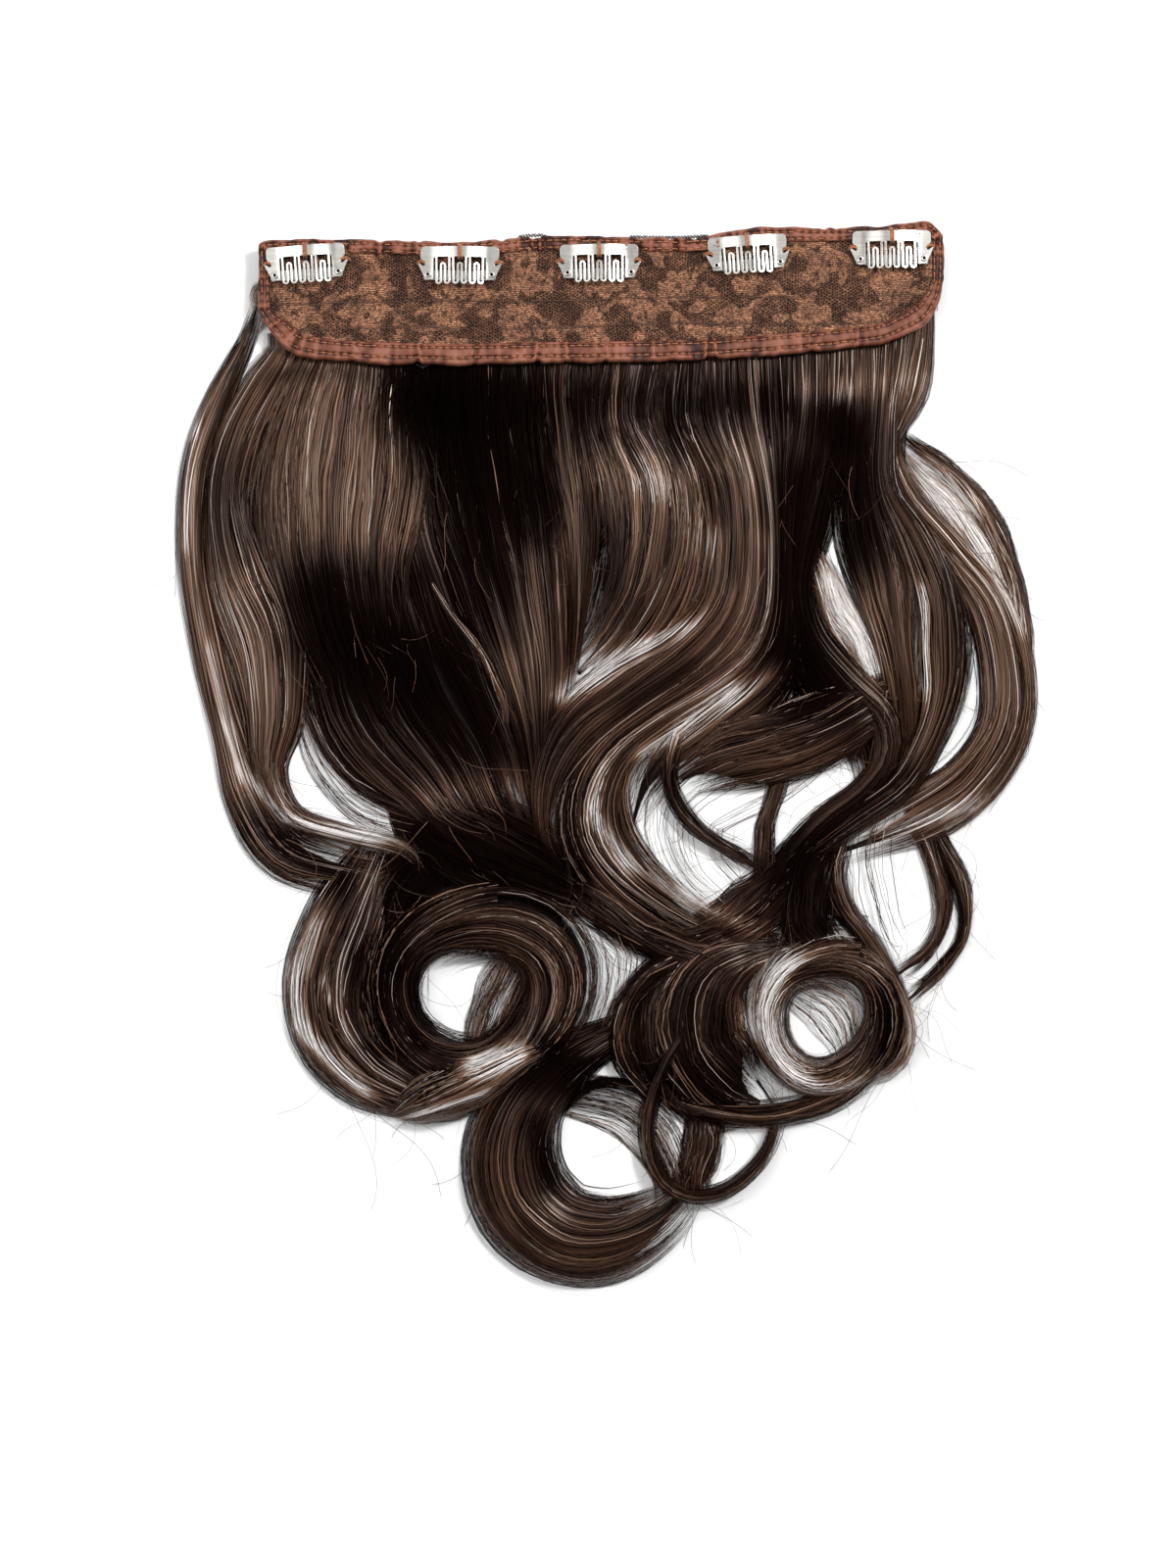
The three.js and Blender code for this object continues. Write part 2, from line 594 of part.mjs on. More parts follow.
// One row of points for each section, joined in rings and closed at both ends.
function sweptLock(stations) {
  const ring = LOCK_PROFILE.length;
  const positions = [];
  for (const { x, y, sideX, sideY, width, under, over } of stations) {
    for (const { across, height } of LOCK_PROFILE) {
      const out = across * width;
      positions.push(x + sideX * out, y + sideY * out, THREE.MathUtils.lerp(under, over, height));
    }
  }
  const index = [];
  const last = (stations.length - 1) * ring;
  for (let s = 0; s < last; s += ring) {
    for (let i = 0; i < ring; i++) {
      const j = (i + 1) % ring;
      index.push(s + i, s + j, s + ring + j, s + i, s + ring + j, s + ring + i);
    }
  }
  for (let i = 1; i < ring - 1; i++) {
    index.push(0, i + 1, i, last, last + i, last + i + 1);
  }
  const geometry = new THREE.BufferGeometry();
  geometry.setAttribute("position", new THREE.Float32BufferAttribute(positions, 3));
  geometry.setIndex(index);
  return solidOf(geometry);
}

// Points of a lock as (x, y, width), its root first.
function fallPoints({ root, sections }) {
  const rows = sections.map(
    ([across, down, width]) =>
      new THREE.Vector3(across * HAIR_UNIT, -BASE_HEIGHT / 2 - down * HAIR_UNIT, width * HAIR_UNIT),
  );
  if (!root) return rows;
  const x = ((root[0] + root[1]) / 2) * BASE_LENGTH;
  const width = (root[1] - root[0]) * BASE_LENGTH;
  const edge = edgeAt(bottomEdge, x);
  return [new THREE.Vector3(x, edge + ROOT_DEPTH, width), new THREE.Vector3(x, edge, width), ...rows];
}

function stationsAlong(curve, steps, heightAt) {
  return Array.from({ length: steps + 1 }, (_, i) => {
    const t = i / steps;
    const { x, y, z: width } = curve.getPoint(t);
    const tangent = curve.getTangent(t);
    const length = Math.hypot(tangent.x, tangent.y);
    return { x, y, sideX: -tangent.y / length, sideY: tangent.x / length, width, ...heightAt(t) };
  });
}

function fallSolid(lock) {
  const path = fallPoints(lock);
  const curve = new THREE.CatmullRomCurve3(path, false, "centripetal");
  const rootShare = lock.root ? 1 / (path.length - 1) : 0;
  const heightAt = (t) => {
    const grown = lock.root ? THREE.MathUtils.smoothstep(t, rootShare, 3 * rootShare) : 1;
    const ending = THREE.MathUtils.smoothstep(t, 0.75, 1);
    const full = THREE.MathUtils.lerp(ROOT_HEIGHT, lock.over * HAIR_LOFT, grown);
    const under = lock.under * HAIR_LOFT * grown * (1 - ending);
    return { under, over: full * THREE.MathUtils.lerp(1, TIP_LOFT, ending) };
  };
  return sweptLock(stationsAlong(curve, lock.sections.length, heightAt));
}

// Half of a closed curl, from a given angle. It runs a little over, so that two halves fuse.
function halfCurlSolid({ across, down, radiusX, radiusY, width, over }, start) {
  const turn = Math.PI + 0.1;
  const steps = 7;
  const stations = Array.from({ length: steps + 1 }, (_, i) => {
    const angle = start + (turn * i) / steps;
    return {
      x: (across + radiusX * Math.cos(angle)) * HAIR_UNIT,
      y: -BASE_HEIGHT / 2 - (down - radiusY * Math.sin(angle)) * HAIR_UNIT,
      sideX: -Math.cos(angle),
      sideY: -Math.sin(angle),
      width: width * HAIR_UNIT,
      under: 0,
      over: over * HAIR_LOFT,
    };
  });
  return sweptLock(stations);
}

function hairGeometry() {
  const inset = evenInset(BACKING_INSET);
  let hair = solidOf(prism(baseShape(inset), 0, ROOT_HEIGHT));
  for (const lock of LOCKS) hair = hair.add(fallSolid(lock));
  for (const curl of CURLS) hair = hair.add(halfCurlSolid(curl, 0)).add(halfCurlSolid(curl, Math.PI));
  return geometryOf(hair);
}

addMesh("hair", hairGeometry(), "hair");

// The origin is at the middle of the whole piece's outline, on the table.
const box = new THREE.Box3().setFromObject(group);
const middle = box.getCenter(new THREE.Vector3());
group.position.set(-middle.x, -middle.y, -box.min.z);

export default group;
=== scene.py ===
"""Dresses a one-piece clip-in hair extension: lace base, satin binding, snap combs and wavy hair."""
import math

import bmesh
import bpy
import numpy as np
from bpy.props import FloatProperty, FloatVectorProperty, IntProperty, PointerProperty
from mathutils import Matrix, Vector


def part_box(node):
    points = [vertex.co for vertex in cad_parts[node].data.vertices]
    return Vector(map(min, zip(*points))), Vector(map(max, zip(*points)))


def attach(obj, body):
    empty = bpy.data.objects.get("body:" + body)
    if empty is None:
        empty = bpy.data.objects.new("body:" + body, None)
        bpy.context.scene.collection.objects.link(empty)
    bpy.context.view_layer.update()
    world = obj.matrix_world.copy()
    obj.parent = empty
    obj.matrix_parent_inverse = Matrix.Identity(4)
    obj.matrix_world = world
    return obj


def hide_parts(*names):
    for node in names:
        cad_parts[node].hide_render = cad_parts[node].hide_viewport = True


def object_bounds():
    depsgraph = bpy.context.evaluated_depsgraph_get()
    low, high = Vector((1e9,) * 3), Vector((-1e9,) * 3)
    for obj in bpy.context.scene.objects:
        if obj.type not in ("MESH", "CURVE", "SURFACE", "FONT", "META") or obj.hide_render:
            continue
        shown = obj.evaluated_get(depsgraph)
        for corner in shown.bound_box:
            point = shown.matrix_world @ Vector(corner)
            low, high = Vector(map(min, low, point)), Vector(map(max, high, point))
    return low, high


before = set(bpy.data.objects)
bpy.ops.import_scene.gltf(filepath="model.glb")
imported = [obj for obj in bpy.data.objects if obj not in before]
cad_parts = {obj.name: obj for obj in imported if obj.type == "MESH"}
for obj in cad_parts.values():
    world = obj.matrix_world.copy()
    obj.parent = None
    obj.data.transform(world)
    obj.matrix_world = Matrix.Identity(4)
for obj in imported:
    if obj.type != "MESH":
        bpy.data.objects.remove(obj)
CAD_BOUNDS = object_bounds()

bl_info = {
    "name": "Clip-in hair extension",
    "version": (1, 0, 0),
    "blender": (4, 5, 0),
    "location": "View3D > Sidebar > Hair piece",
    "description": "Builds the lace base, snap combs and wavy hair of a clip-in hair extension",
    "category": "Add Mesh",
}

MM = 0.001

# Sizes of the base in millimetres, as in the part's source
CLEARANCE = 0.3
BASE_LENGTH = 262.0
BASE_HEIGHT = 48.0
ROOT_HEIGHT = 5.0
CLOTH = 1.0
BINDING_BOTTOM = 8.0
BINDING_TOP = 5.5
BINDING_SIDE = 4.5
HAIR_LENGTH = 375.0
HAIR_LOFT = 18.0
ROOT_DEPTH = 7.0

UNIT = HAIR_LENGTH / 1000  # a thousandth of the hair's length, and a pixel of the photo
PHOTO_SIZE = (1200, 1600)  # pixels across and down
PHOTO_BASE = (615, 310)  # the base's middle in the photo, in pixels

LACE_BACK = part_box("lace_panel")[0].z / MM
LACE_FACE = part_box("lace_panel")[1].z / MM
BINDING_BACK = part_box("edge_binding")[0].z / MM
BINDING_FACE = BINDING_BACK + 3.8
PLATE_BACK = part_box("clip_3_plate")[0].z / MM

# Edges of the base, left end to right end: share of its length, share of its height.
TOP_EDGE = [
    (-0.5, 0.45), (-0.48, 0.48), (-0.38, 0.49), (-0.2, 0.47), (-0.08, 0.515),
    (0.12, 0.5), (0.22, 0.57), (0.4, 0.59), (0.47, 0.63), (0.495, 0.52),
]
BOTTOM_EDGE = [
    (-0.5, -0.1), (-0.478, -0.28), (-0.43, -0.45), (-0.27, -0.51), (-0.08, -0.5),
    (0.16, -0.47), (0.38, -0.37), (0.44, -0.27), (0.48, -0.12), (0.495, 0.15),
]

# Gathered folds of the binding: share of the base's length, slant in degrees, side, strength.
TUCKS = [
    (-0.263, 12, "bottom", 1.0), (-0.1, -14, "bottom", 1.0), (0.008, 8, "bottom", 0.8),
    (0.148, -10, "bottom", 0.8), (0.166, 6, "bottom", 1.0), (0.3, -6, "bottom", 0.5),
    (-0.36, 5, "bottom", 0.4), (-0.19, -8, "bottom", 0.5), (0.075, 4, "bottom", 0.4),
    (0.225, 9, "bottom", 0.4), (0.37, -5, "bottom", 0.4), (-0.05, 6, "bottom", 0.5),
    (-0.318, 10, "top", 0.7), (-0.27, -6, "top", 0.6), (-0.145, 4, "top", 0.8),
    (-0.105, -8, "top", 1.0), (-0.09, 5, "top", 0.8), (0.06, 6, "top", 0.5),
    (0.1, 6, "top", 0.9), (0.13, -7, "top", 0.8), (0.315, -12, "top", 0.8),
    (0.34, 5, "top", 0.5),
]

# Snap combs: middle of the rivet line, across in millimetres and up as a share of the base's
# height, and tilt in degrees.
CLIPS = [
    (-112.4, 0.209, 4.0), (-54.29, 0.199, -0.3), (-1.33, 0.216, 0.6),
    (55.22, 0.285, 3.5), (109.75, 0.324, 1.0),
]

# Locks of hair. root: where it leaves the base, as shares of the base's length.
# under, over: lowest and highest level as shares of the loft. rise: share of the length over
# which a lock without a root comes out from under the others. tone: 0 deep brown to 1 silver;
# low tones also carry painted shade and high ones painted highlight. light: share of silver
# fibres, which partly stand for painted highlight. loose: how far fibres stray. dense: fibres for
# each millimetre.
# ragged: how unevenly the fibres end, as a share of the lock's length.
# Each row is across, down and width, in thousandths of the hair's length. A ring is a coil
# instead: its middle across and down, two radii and width, with start and turn in degrees.
LOCKS = [
    {"name": "left_rim", "under": 0, "over": 0.28, "tone": 0.52, "light": 0.2, "loose": 0.9,
     "rows": [(-349, -75, 14), (-363, -29, 22), (-389, 27, 28), (-415, 105, 28), (-419, 195, 28),
              (-406, 277, 33), (-383, 373, 36), (-364, 443, 46), (-327, 497, 58), (-263, 517, 50),
              (-187, 527, 34)]},
    {"name": "left_fall", "root": (-0.485, -0.44), "under": 0, "over": 0.4, "tone": 0.47,
     "light": 0.03, "loose": 0.5,
     "rows": [(-341, 15, 44), (-368, 70, 50), (-383, 133, 48), (-368, 213, 75), (-344, 275, 90),
              (-336, 350, 70), (-340, 413, 36), (-317, 458, 26), (-264, 477, 22), (-197, 496, 22),
              (-177, 525, 12)]},
    {"name": "left_under", "root": (-0.43, -0.26), "under": 0, "over": 0.3, "tone": 0.3,
     "light": 0.0, "loose": 0.4,
     "rows": [(-245, 75, 140), (-240, 170, 150), (-222, 250, 175), (-197, 332, 212),
              (-150, 405, 170), (-122, 455, 128), (-80, 505, 60)]},
    {"name": "left_panel", "root": (-0.455, -0.261), "under": 0, "over": 0.5, "tone": 0.5,
     "light": 0.005, "loose": 0.4, "ragged": 0.22,
     "rows": [(-260, 55, 160), (-266, 125, 182), (-268, 177, 180), (-264, 223, 160),
              (-252, 275, 140), (-232, 330, 120)]},
    {"name": "centre_left", "root": (-0.27, -0.07), "under": 0, "over": 0.4, "tone": 0.33,
     "light": 0.01, "loose": 0.4,
     "rows": [(-119, 65, 120), (-105, 145, 130), (-88, 225, 115), (-73, 305, 85), (-67, 370, 45),
              (-65, 425, 22), (-61, 475, 20)]},
    {"name": "centre_lock", "root": (-0.1, -0.01), "under": 0, "over": 0.52, "tone": 0.42,
     "light": 0.01, "loose": 0.4,
     "rows": [(-38, 55, 62), (-33, 103, 66), (-25, 165, 49), (-23, 225, 28), (-27, 285, 12),
              (-33, 335, 8)]},
    {"name": "wave_upper", "root": (-0.02, 0.11), "under": 0, "over": 0.45, "tone": 0.45,
     "light": 0.02, "loose": 0.4,
     "rows": [(25, 55, 84), (51, 115, 98), (53, 177, 104), (39, 233, 100), (12, 277, 72),
              (-25, 313, 42)]},
    {"name": "wave_lower", "root": (0.105, 0.186), "under": 0, "over": 0.55, "tone": 0.45,
     "light": 0.02, "loose": 0.4,
     "rows": [(103, 55, 70), (128, 120, 58), (133, 193, 58), (122, 247, 62), (85, 291, 68),
              (26, 332, 74), (-24, 370, 68), (-50, 413, 50), (-58, 451, 32), (-55, 483, 20),
              (-40, 513, 14)]},
    {"name": "silver_wave", "root": (0.183, 0.253), "under": 0, "over": 0.5, "tone": 0.43,
     "light": 0.1, "loose": 0.6,
     "rows": [(157, 55, 38), (169, 125, 26), (172, 200, 22), (168, 257, 28), (150, 295, 44),
              (107, 330, 44), (57, 360, 48), (13, 393, 58), (-8, 433, 72), (-7, 475, 80),
              (17, 515, 76), (60, 550, 62), (110, 577, 50), (155, 597, 30)]},
    {"name": "right_pinch", "root": (0.243, 0.318), "under": 0, "over": 0.42, "tone": 0.36,
     "light": 0.04, "loose": 0.6, "ragged": 0.16,
     "rows": [(196, 55, 48), (189, 125, 26), (188, 185, 22), (187, 245, 32), (182, 285, 60),
              (155, 325, 84), (112, 358, 84), (70, 392, 64), (42, 430, 40), (30, 470, 24)]},
    {"name": "cross_band", "under": 0.2, "over": 0.55, "tone": 0.42, "light": 0.06, "loose": 1.1,
     "ragged": 0.24,
     "rows": [(318, 312, 36), (285, 335, 58), (238, 362, 74), (180, 386, 80), (125, 398, 74),
              (80, 420, 50)]},
    {"name": "pinch_right", "under": 0, "over": 0.34, "tone": 0.3, "light": 0.04, "loose": 1.0,
     "ragged": 0.18,
     "rows": [(186, 205, 24), (192, 258, 44), (212, 306, 56), (243, 350, 54), (268, 392, 44),
              (276, 430, 36)]},
    {"name": "hook", "under": 0.1, "over": 0.45, "tone": 0.36, "light": 0.02, "loose": 0.5,
     "rows": [(110, 333, 30), (78, 375, 24), (68, 420, 16), (77, 449, 16), (100, 475, 16),
              (137, 497, 16), (173, 522, 12)]},
    {"name": "right_cross", "root": (0.316, 0.364), "under": 0, "over": 0.5, "tone": 0.4,
     "light": 0.02, "loose": 0.5,
     "rows": [(235, 45, 36), (227, 105, 38), (213, 165, 36), (203, 225, 26), (215, 275, 36),
              (251, 322, 44), (285, 360, 44), (288, 400, 36), (265, 433, 34), (225, 463, 36),
              (193, 497, 36), (175, 537, 34), (165, 590, 28)]},
    {"name": "right_mid", "root": (0.357, 0.414), "under": 0, "over": 0.45, "tone": 0.45,
     "light": 0.02, "loose": 0.5,
     "rows": [(269, 55, 44), (265, 115, 48), (273, 170, 66), (287, 230, 66), (297, 285, 44),
              (305, 340, 34), (307, 390, 28), (297, 425, 24)]},
    {"name": "right_outer", "root": (0.4, 0.457), "under": 0, "over": 0.55, "tone": 0.42,
     "light": 0.04, "loose": 0.5,
     "rows": [(290, 65, 30), (293, 125, 30), (320, 173, 40), (342, 230, 52), (346, 285, 60),
              (345, 330, 52), (330, 380, 38), (305, 425, 36), (257, 461, 34), (207, 497, 32),
              (170, 530, 26)]},
    {"name": "bulge", "root": (0.443, 0.481), "under": 0, "over": 0.4, "tone": 0.5,
     "light": 0.1, "loose": 0.8,
     "rows": [(310, 25, 40), (293, 80, 22), (310, 135, 30), (353, 188, 40), (395, 243, 50),
              (413, 305, 56), (410, 370, 58), (375, 425, 62), (325, 460, 64), (270, 485, 44),
              (235, 497, 40)]},
    {"name": "bulge_rim", "under": 0, "over": 0.22, "tone": 0.55, "light": 0.15, "loose": 1.2,
     "rows": [(300, 66, 12), (349, 103, 20), (389, 150, 24), (416, 210, 20), (430, 270, 18),
              (434, 325, 14)]},
    {"name": "tail_inner", "under": 0, "over": 0.35, "rise": 0.55, "tone": 0.38, "light": 0.02,
     "loose": 0.6,
     "rows": [(323, 415, 24), (320, 455, 22), (334, 495, 22), (346, 535, 20), (345, 570, 16),
              (329, 598, 18), (297, 623, 20)]},
    {"name": "tail_outer", "under": 0, "over": 0.28, "rise": 0.55, "tone": 0.4, "light": 0.02,
     "loose": 0.6,
     "rows": [(330, 430, 18), (338, 473, 20), (360, 515, 20), (370, 553, 15), (366, 585, 13),
              (345, 613, 15), (308, 650, 18)]},
    {"name": "loop_left", "under": 0, "over": 0.35, "tone": 0.42, "light": 0.05, "loose": 0.6,
     "rows": [(247, 470, 30), (235, 515, 26), (247, 553, 24), (273, 590, 22), (297, 625, 18),
              (315, 663, 14)]},
    {"name": "right_mass", "under": 0, "over": 0.45, "tone": 0.33, "light": 0.02, "loose": 0.9,
     "rows": [(230, 475, 50), (210, 520, 60), (207, 565, 55), (235, 600, 40)]},
    {"name": "silver_right", "under": 0.1, "over": 0.7, "tone": 0.85, "light": 0.6, "loose": 0.5,
     "rows": [(242, 580, 14), (280, 612, 18), (305, 650, 16), (311, 685, 16), (295, 715, 18),
              (267, 728, 14)]},
    {"name": "low_band", "under": 0, "over": 0.55, "tone": 0.42, "light": 0.06, "loose": 0.6,
     "rows": [(40, 729, 16), (87, 755, 24), (145, 764, 26), (205, 757, 27), (253, 733, 30),
              (278, 695, 28), (281, 647, 22), (264, 605, 20)]},
    {"name": "wave_left", "under": 0, "over": 0.5, "tone": 0.4, "light": 0.12, "loose": 0.6,
     "rise": 0.36,
     "rows": [(-222, 478, 60), (-243, 526, 76), (-262, 575, 92), (-277, 630, 98),
              (-270, 680, 94), (-243, 715, 80), (-203, 738, 62), (-155, 758, 34)]},
    {"name": "roll", "under": 0.1, "over": 1.0, "tone": 0.5, "light": 0.4, "loose": 0.4,
     "rows": [(-25, 683, 8), (-75, 697, 36), (-120, 720, 58), (-160, 737, 62), (-195, 753, 44),
              (-214, 764, 16)]},
    {"name": "bottom_curl", "under": 0, "over": 0.75, "tone": 0.42, "light": 0.015, "loose": 0.5,
     "ragged": 0.14,
     "rows": [(56, 664, 34), (6, 684, 44), (-42, 714, 60), (-80, 755, 80), (-93, 807, 98),
              (-80, 852, 104), (-42, 884, 100), (5, 888, 92), (55, 868, 70), (95, 832, 34)]},
    {"name": "arch", "under": 0, "over": 0.35, "tone": 0.35, "light": 0.05, "loose": 0.9,
     "rows": [(-43, 763, 12), (-17, 735, 12), (25, 732, 13), (53, 753, 12)]},
    {"name": "small_ring", "under": 0, "over": 0.6, "tone": 0.4, "light": 0.03, "loose": 0.7,
     "rows": [(110, 595, 30), (60, 613, 30), (27, 645, 28), (19, 685, 28), (32, 722, 26),
              (57, 747, 24)]},
    {"name": "tangle", "under": 0, "over": 0.42, "tone": 0.34, "light": 0.02, "loose": 1.4,
     "ragged": 0.16,
     "rows": [(190, 590, 30), (142, 598, 60), (106, 620, 100), (90, 658, 122), (96, 700, 122),
              (128, 736, 110), (160, 752, 50)]},
    {"name": "thin_ring", "under": 0, "over": 0.6, "tone": 0.36, "light": 0.02, "loose": 0.5,
     "rows": [(135, 632, 16), (91, 668, 18), (66, 705, 18), (49, 747, 16), (46, 790, 16),
              (59, 826, 18), (85, 845, 17), (123, 841, 17), (153, 818, 18), (171, 787, 17),
              (174, 755, 18), (157, 728, 18)]},
    {"name": "inner_fall", "under": 0, "over": 0.35, "tone": 0.4, "light": 0.05, "loose": 1.0,
     "rows": [(101, 750, 36), (103, 790, 38), (94, 827, 36), (97, 850, 20)]},
    # painted shade: a dark lock laid where the hair lies in shadow between wave_left and ring_left
    {"name": "shade_low", "under": 0, "over": 0.25, "tone": 0.16, "light": 0.0, "loose": 0.6,
     "rows": [(-150, 490, 50), (-198, 530, 70), (-214, 580, 64), (-214, 640, 56), (-204, 690, 44)]},
    {"name": "knot", "under": 0, "over": 0.4, "tone": 0.33, "light": 0.02, "loose": 1.4,
     "rows": [(-55, 505, 40), (-5, 545, 50), (45, 580, 45), (105, 600, 50), (165, 600, 50)]},
    # painted shade: a dark lock laid where the hair lies in shadow between the left locks and
    # ring_left
    {"name": "shade", "under": 0, "over": 0.25, "tone": 0.22, "light": 0.0, "loose": 0.8,
     "ragged": 0.2,
     "rows": [(-212, 428, 44), (-184, 452, 84), (-142, 480, 112), (-92, 505, 104), (-42, 528, 74),
              (0, 548, 30)]},
    {"name": "knot_right", "under": 0, "over": 0.35, "tone": 0.34, "light": 0.02, "loose": 1.4,
     "ragged": 0.2,
     "rows": [(225, 470, 36), (188, 522, 56), (146, 560, 60), (96, 586, 52), (44, 598, 36)]},
    {"name": "fork", "under": 0, "over": 0.3, "tone": 0.38, "light": 0.02, "loose": 1.2,
     "rows": [(206, 372, 16), (184, 415, 16), (170, 455, 18), (164, 500, 22), (172, 545, 22)]},
    {"name": "ring_left", "under": 0, "over": 0.85, "tone": 0.38, "light": 0.05, "loose": 1.3,
     "ring": (-128, 636, 79, 76, 70), "start": 75, "turn": 430},
    {"name": "ring_right", "under": 0, "over": 0.8, "tone": 0.42, "light": 0.12, "loose": 0.7,
     "ring": (226, 664, 59, 64, 46), "start": 60, "turn": 420},
]

# Thin see-through locks that carry no solid of their own. dense is far below a full lock's.
WISPS = [
    {"name": "streak", "under": 0.3, "over": 0.42, "tone": 0.62, "light": 0.25, "loose": 0.5,
     "dense": 5.0,
     "rows": [(-192, 190, 6), (-160, 245, 8), (-125, 290, 12), (-104, 333, 12), (-95, 383, 8)]},
    {"name": "right_glint", "under": 0.1, "over": 0.3, "tone": 0.7, "light": 0.4, "loose": 0.8,
     "dense": 8.0,
     "rows": [(210, 165, 14), (222, 205, 26), (236, 245, 38), (254, 278, 36), (272, 315, 26),
              (284, 350, 14)]},
    {"name": "left_net", "under": 0.05, "over": 0.2, "tone": 0.3, "light": 0.05, "loose": 0.8,
     "dense": 3.2,
     "rows": [(-312, 300, 14), (-303, 352, 22), (-283, 400, 40), (-245, 440, 52),
              (-195, 462, 40), (-150, 470, 20)]},
    {"name": "bulge_gap", "under": 0.02, "over": 0.15, "tone": 0.66, "light": 0.3, "loose": 0.8,
     "dense": 7.0,
     "rows": [(296, 70, 10), (312, 105, 34), (345, 150, 66), (380, 205, 74), (405, 262, 56),
              (418, 320, 30), (420, 370, 16)]},
    {"name": "centre_gap", "under": 0.02, "over": 0.2, "tone": 0.42, "light": 0.1, "loose": 1.2,
     "dense": 0.9,
     "rows": [(260, 345, 30), (205, 392, 70), (140, 420, 96), (88, 455, 90), (92, 505, 70),
              (135, 550, 50), (175, 590, 20)]},
    {"name": "ring_left_gap", "under": 0.02, "over": 0.3, "tone": 0.4, "light": 0.1,
     "loose": 0.9, "dense": 9.0,
     "rows": [(-66, 570, 24), (-84, 608, 50), (-104, 650, 60), (-120, 688, 46), (-134, 716, 20)]},
    {"name": "ring_right_gap", "under": 0.02, "over": 0.3, "tone": 0.45, "light": 0.1,
     "loose": 1.0, "dense": 3.0,
     "rows": [(170, 622, 16), (198, 632, 44), (235, 655, 60), (252, 692, 44), (246, 725, 20)]},
    {"name": "curl_gap", "under": 0.02, "over": 0.2, "tone": 0.4, "light": 0.1, "loose": 1.0,
     "dense": 5.0,
     "rows": [(-60, 758, 16), (-30, 748, 40), (15, 756, 52), (52, 785, 50), (70, 830, 40),
              (62, 868, 20)]},
    {"name": "tuft", "under": 0.0, "over": 0.2, "tone": 0.55, "light": 0.1, "loose": 0.8,
     "dense": 8.0,
     "rows": [(-340, -88, 6), (-352, -82, 10), (-356, -68, 10), (-346, -52, 8), (-352, -30, 8)]},
    {"name": "low_net", "under": 0.02, "over": 0.3, "tone": 0.4, "light": 0.1, "loose": 2.0,
     "dense": 2.0,
     "rows": [(-20, 560, 40), (20, 600, 60), (10, 660, 50), (-10, 700, 40)]},
    {"name": "tail_net", "under": 0.02, "over": 0.3, "tone": 0.4, "light": 0.05, "loose": 2.0,
     "dense": 1.0,
     "rows": [(290, 430, 50), (270, 490, 60), (280, 560, 60), (310, 620, 40)]},
]
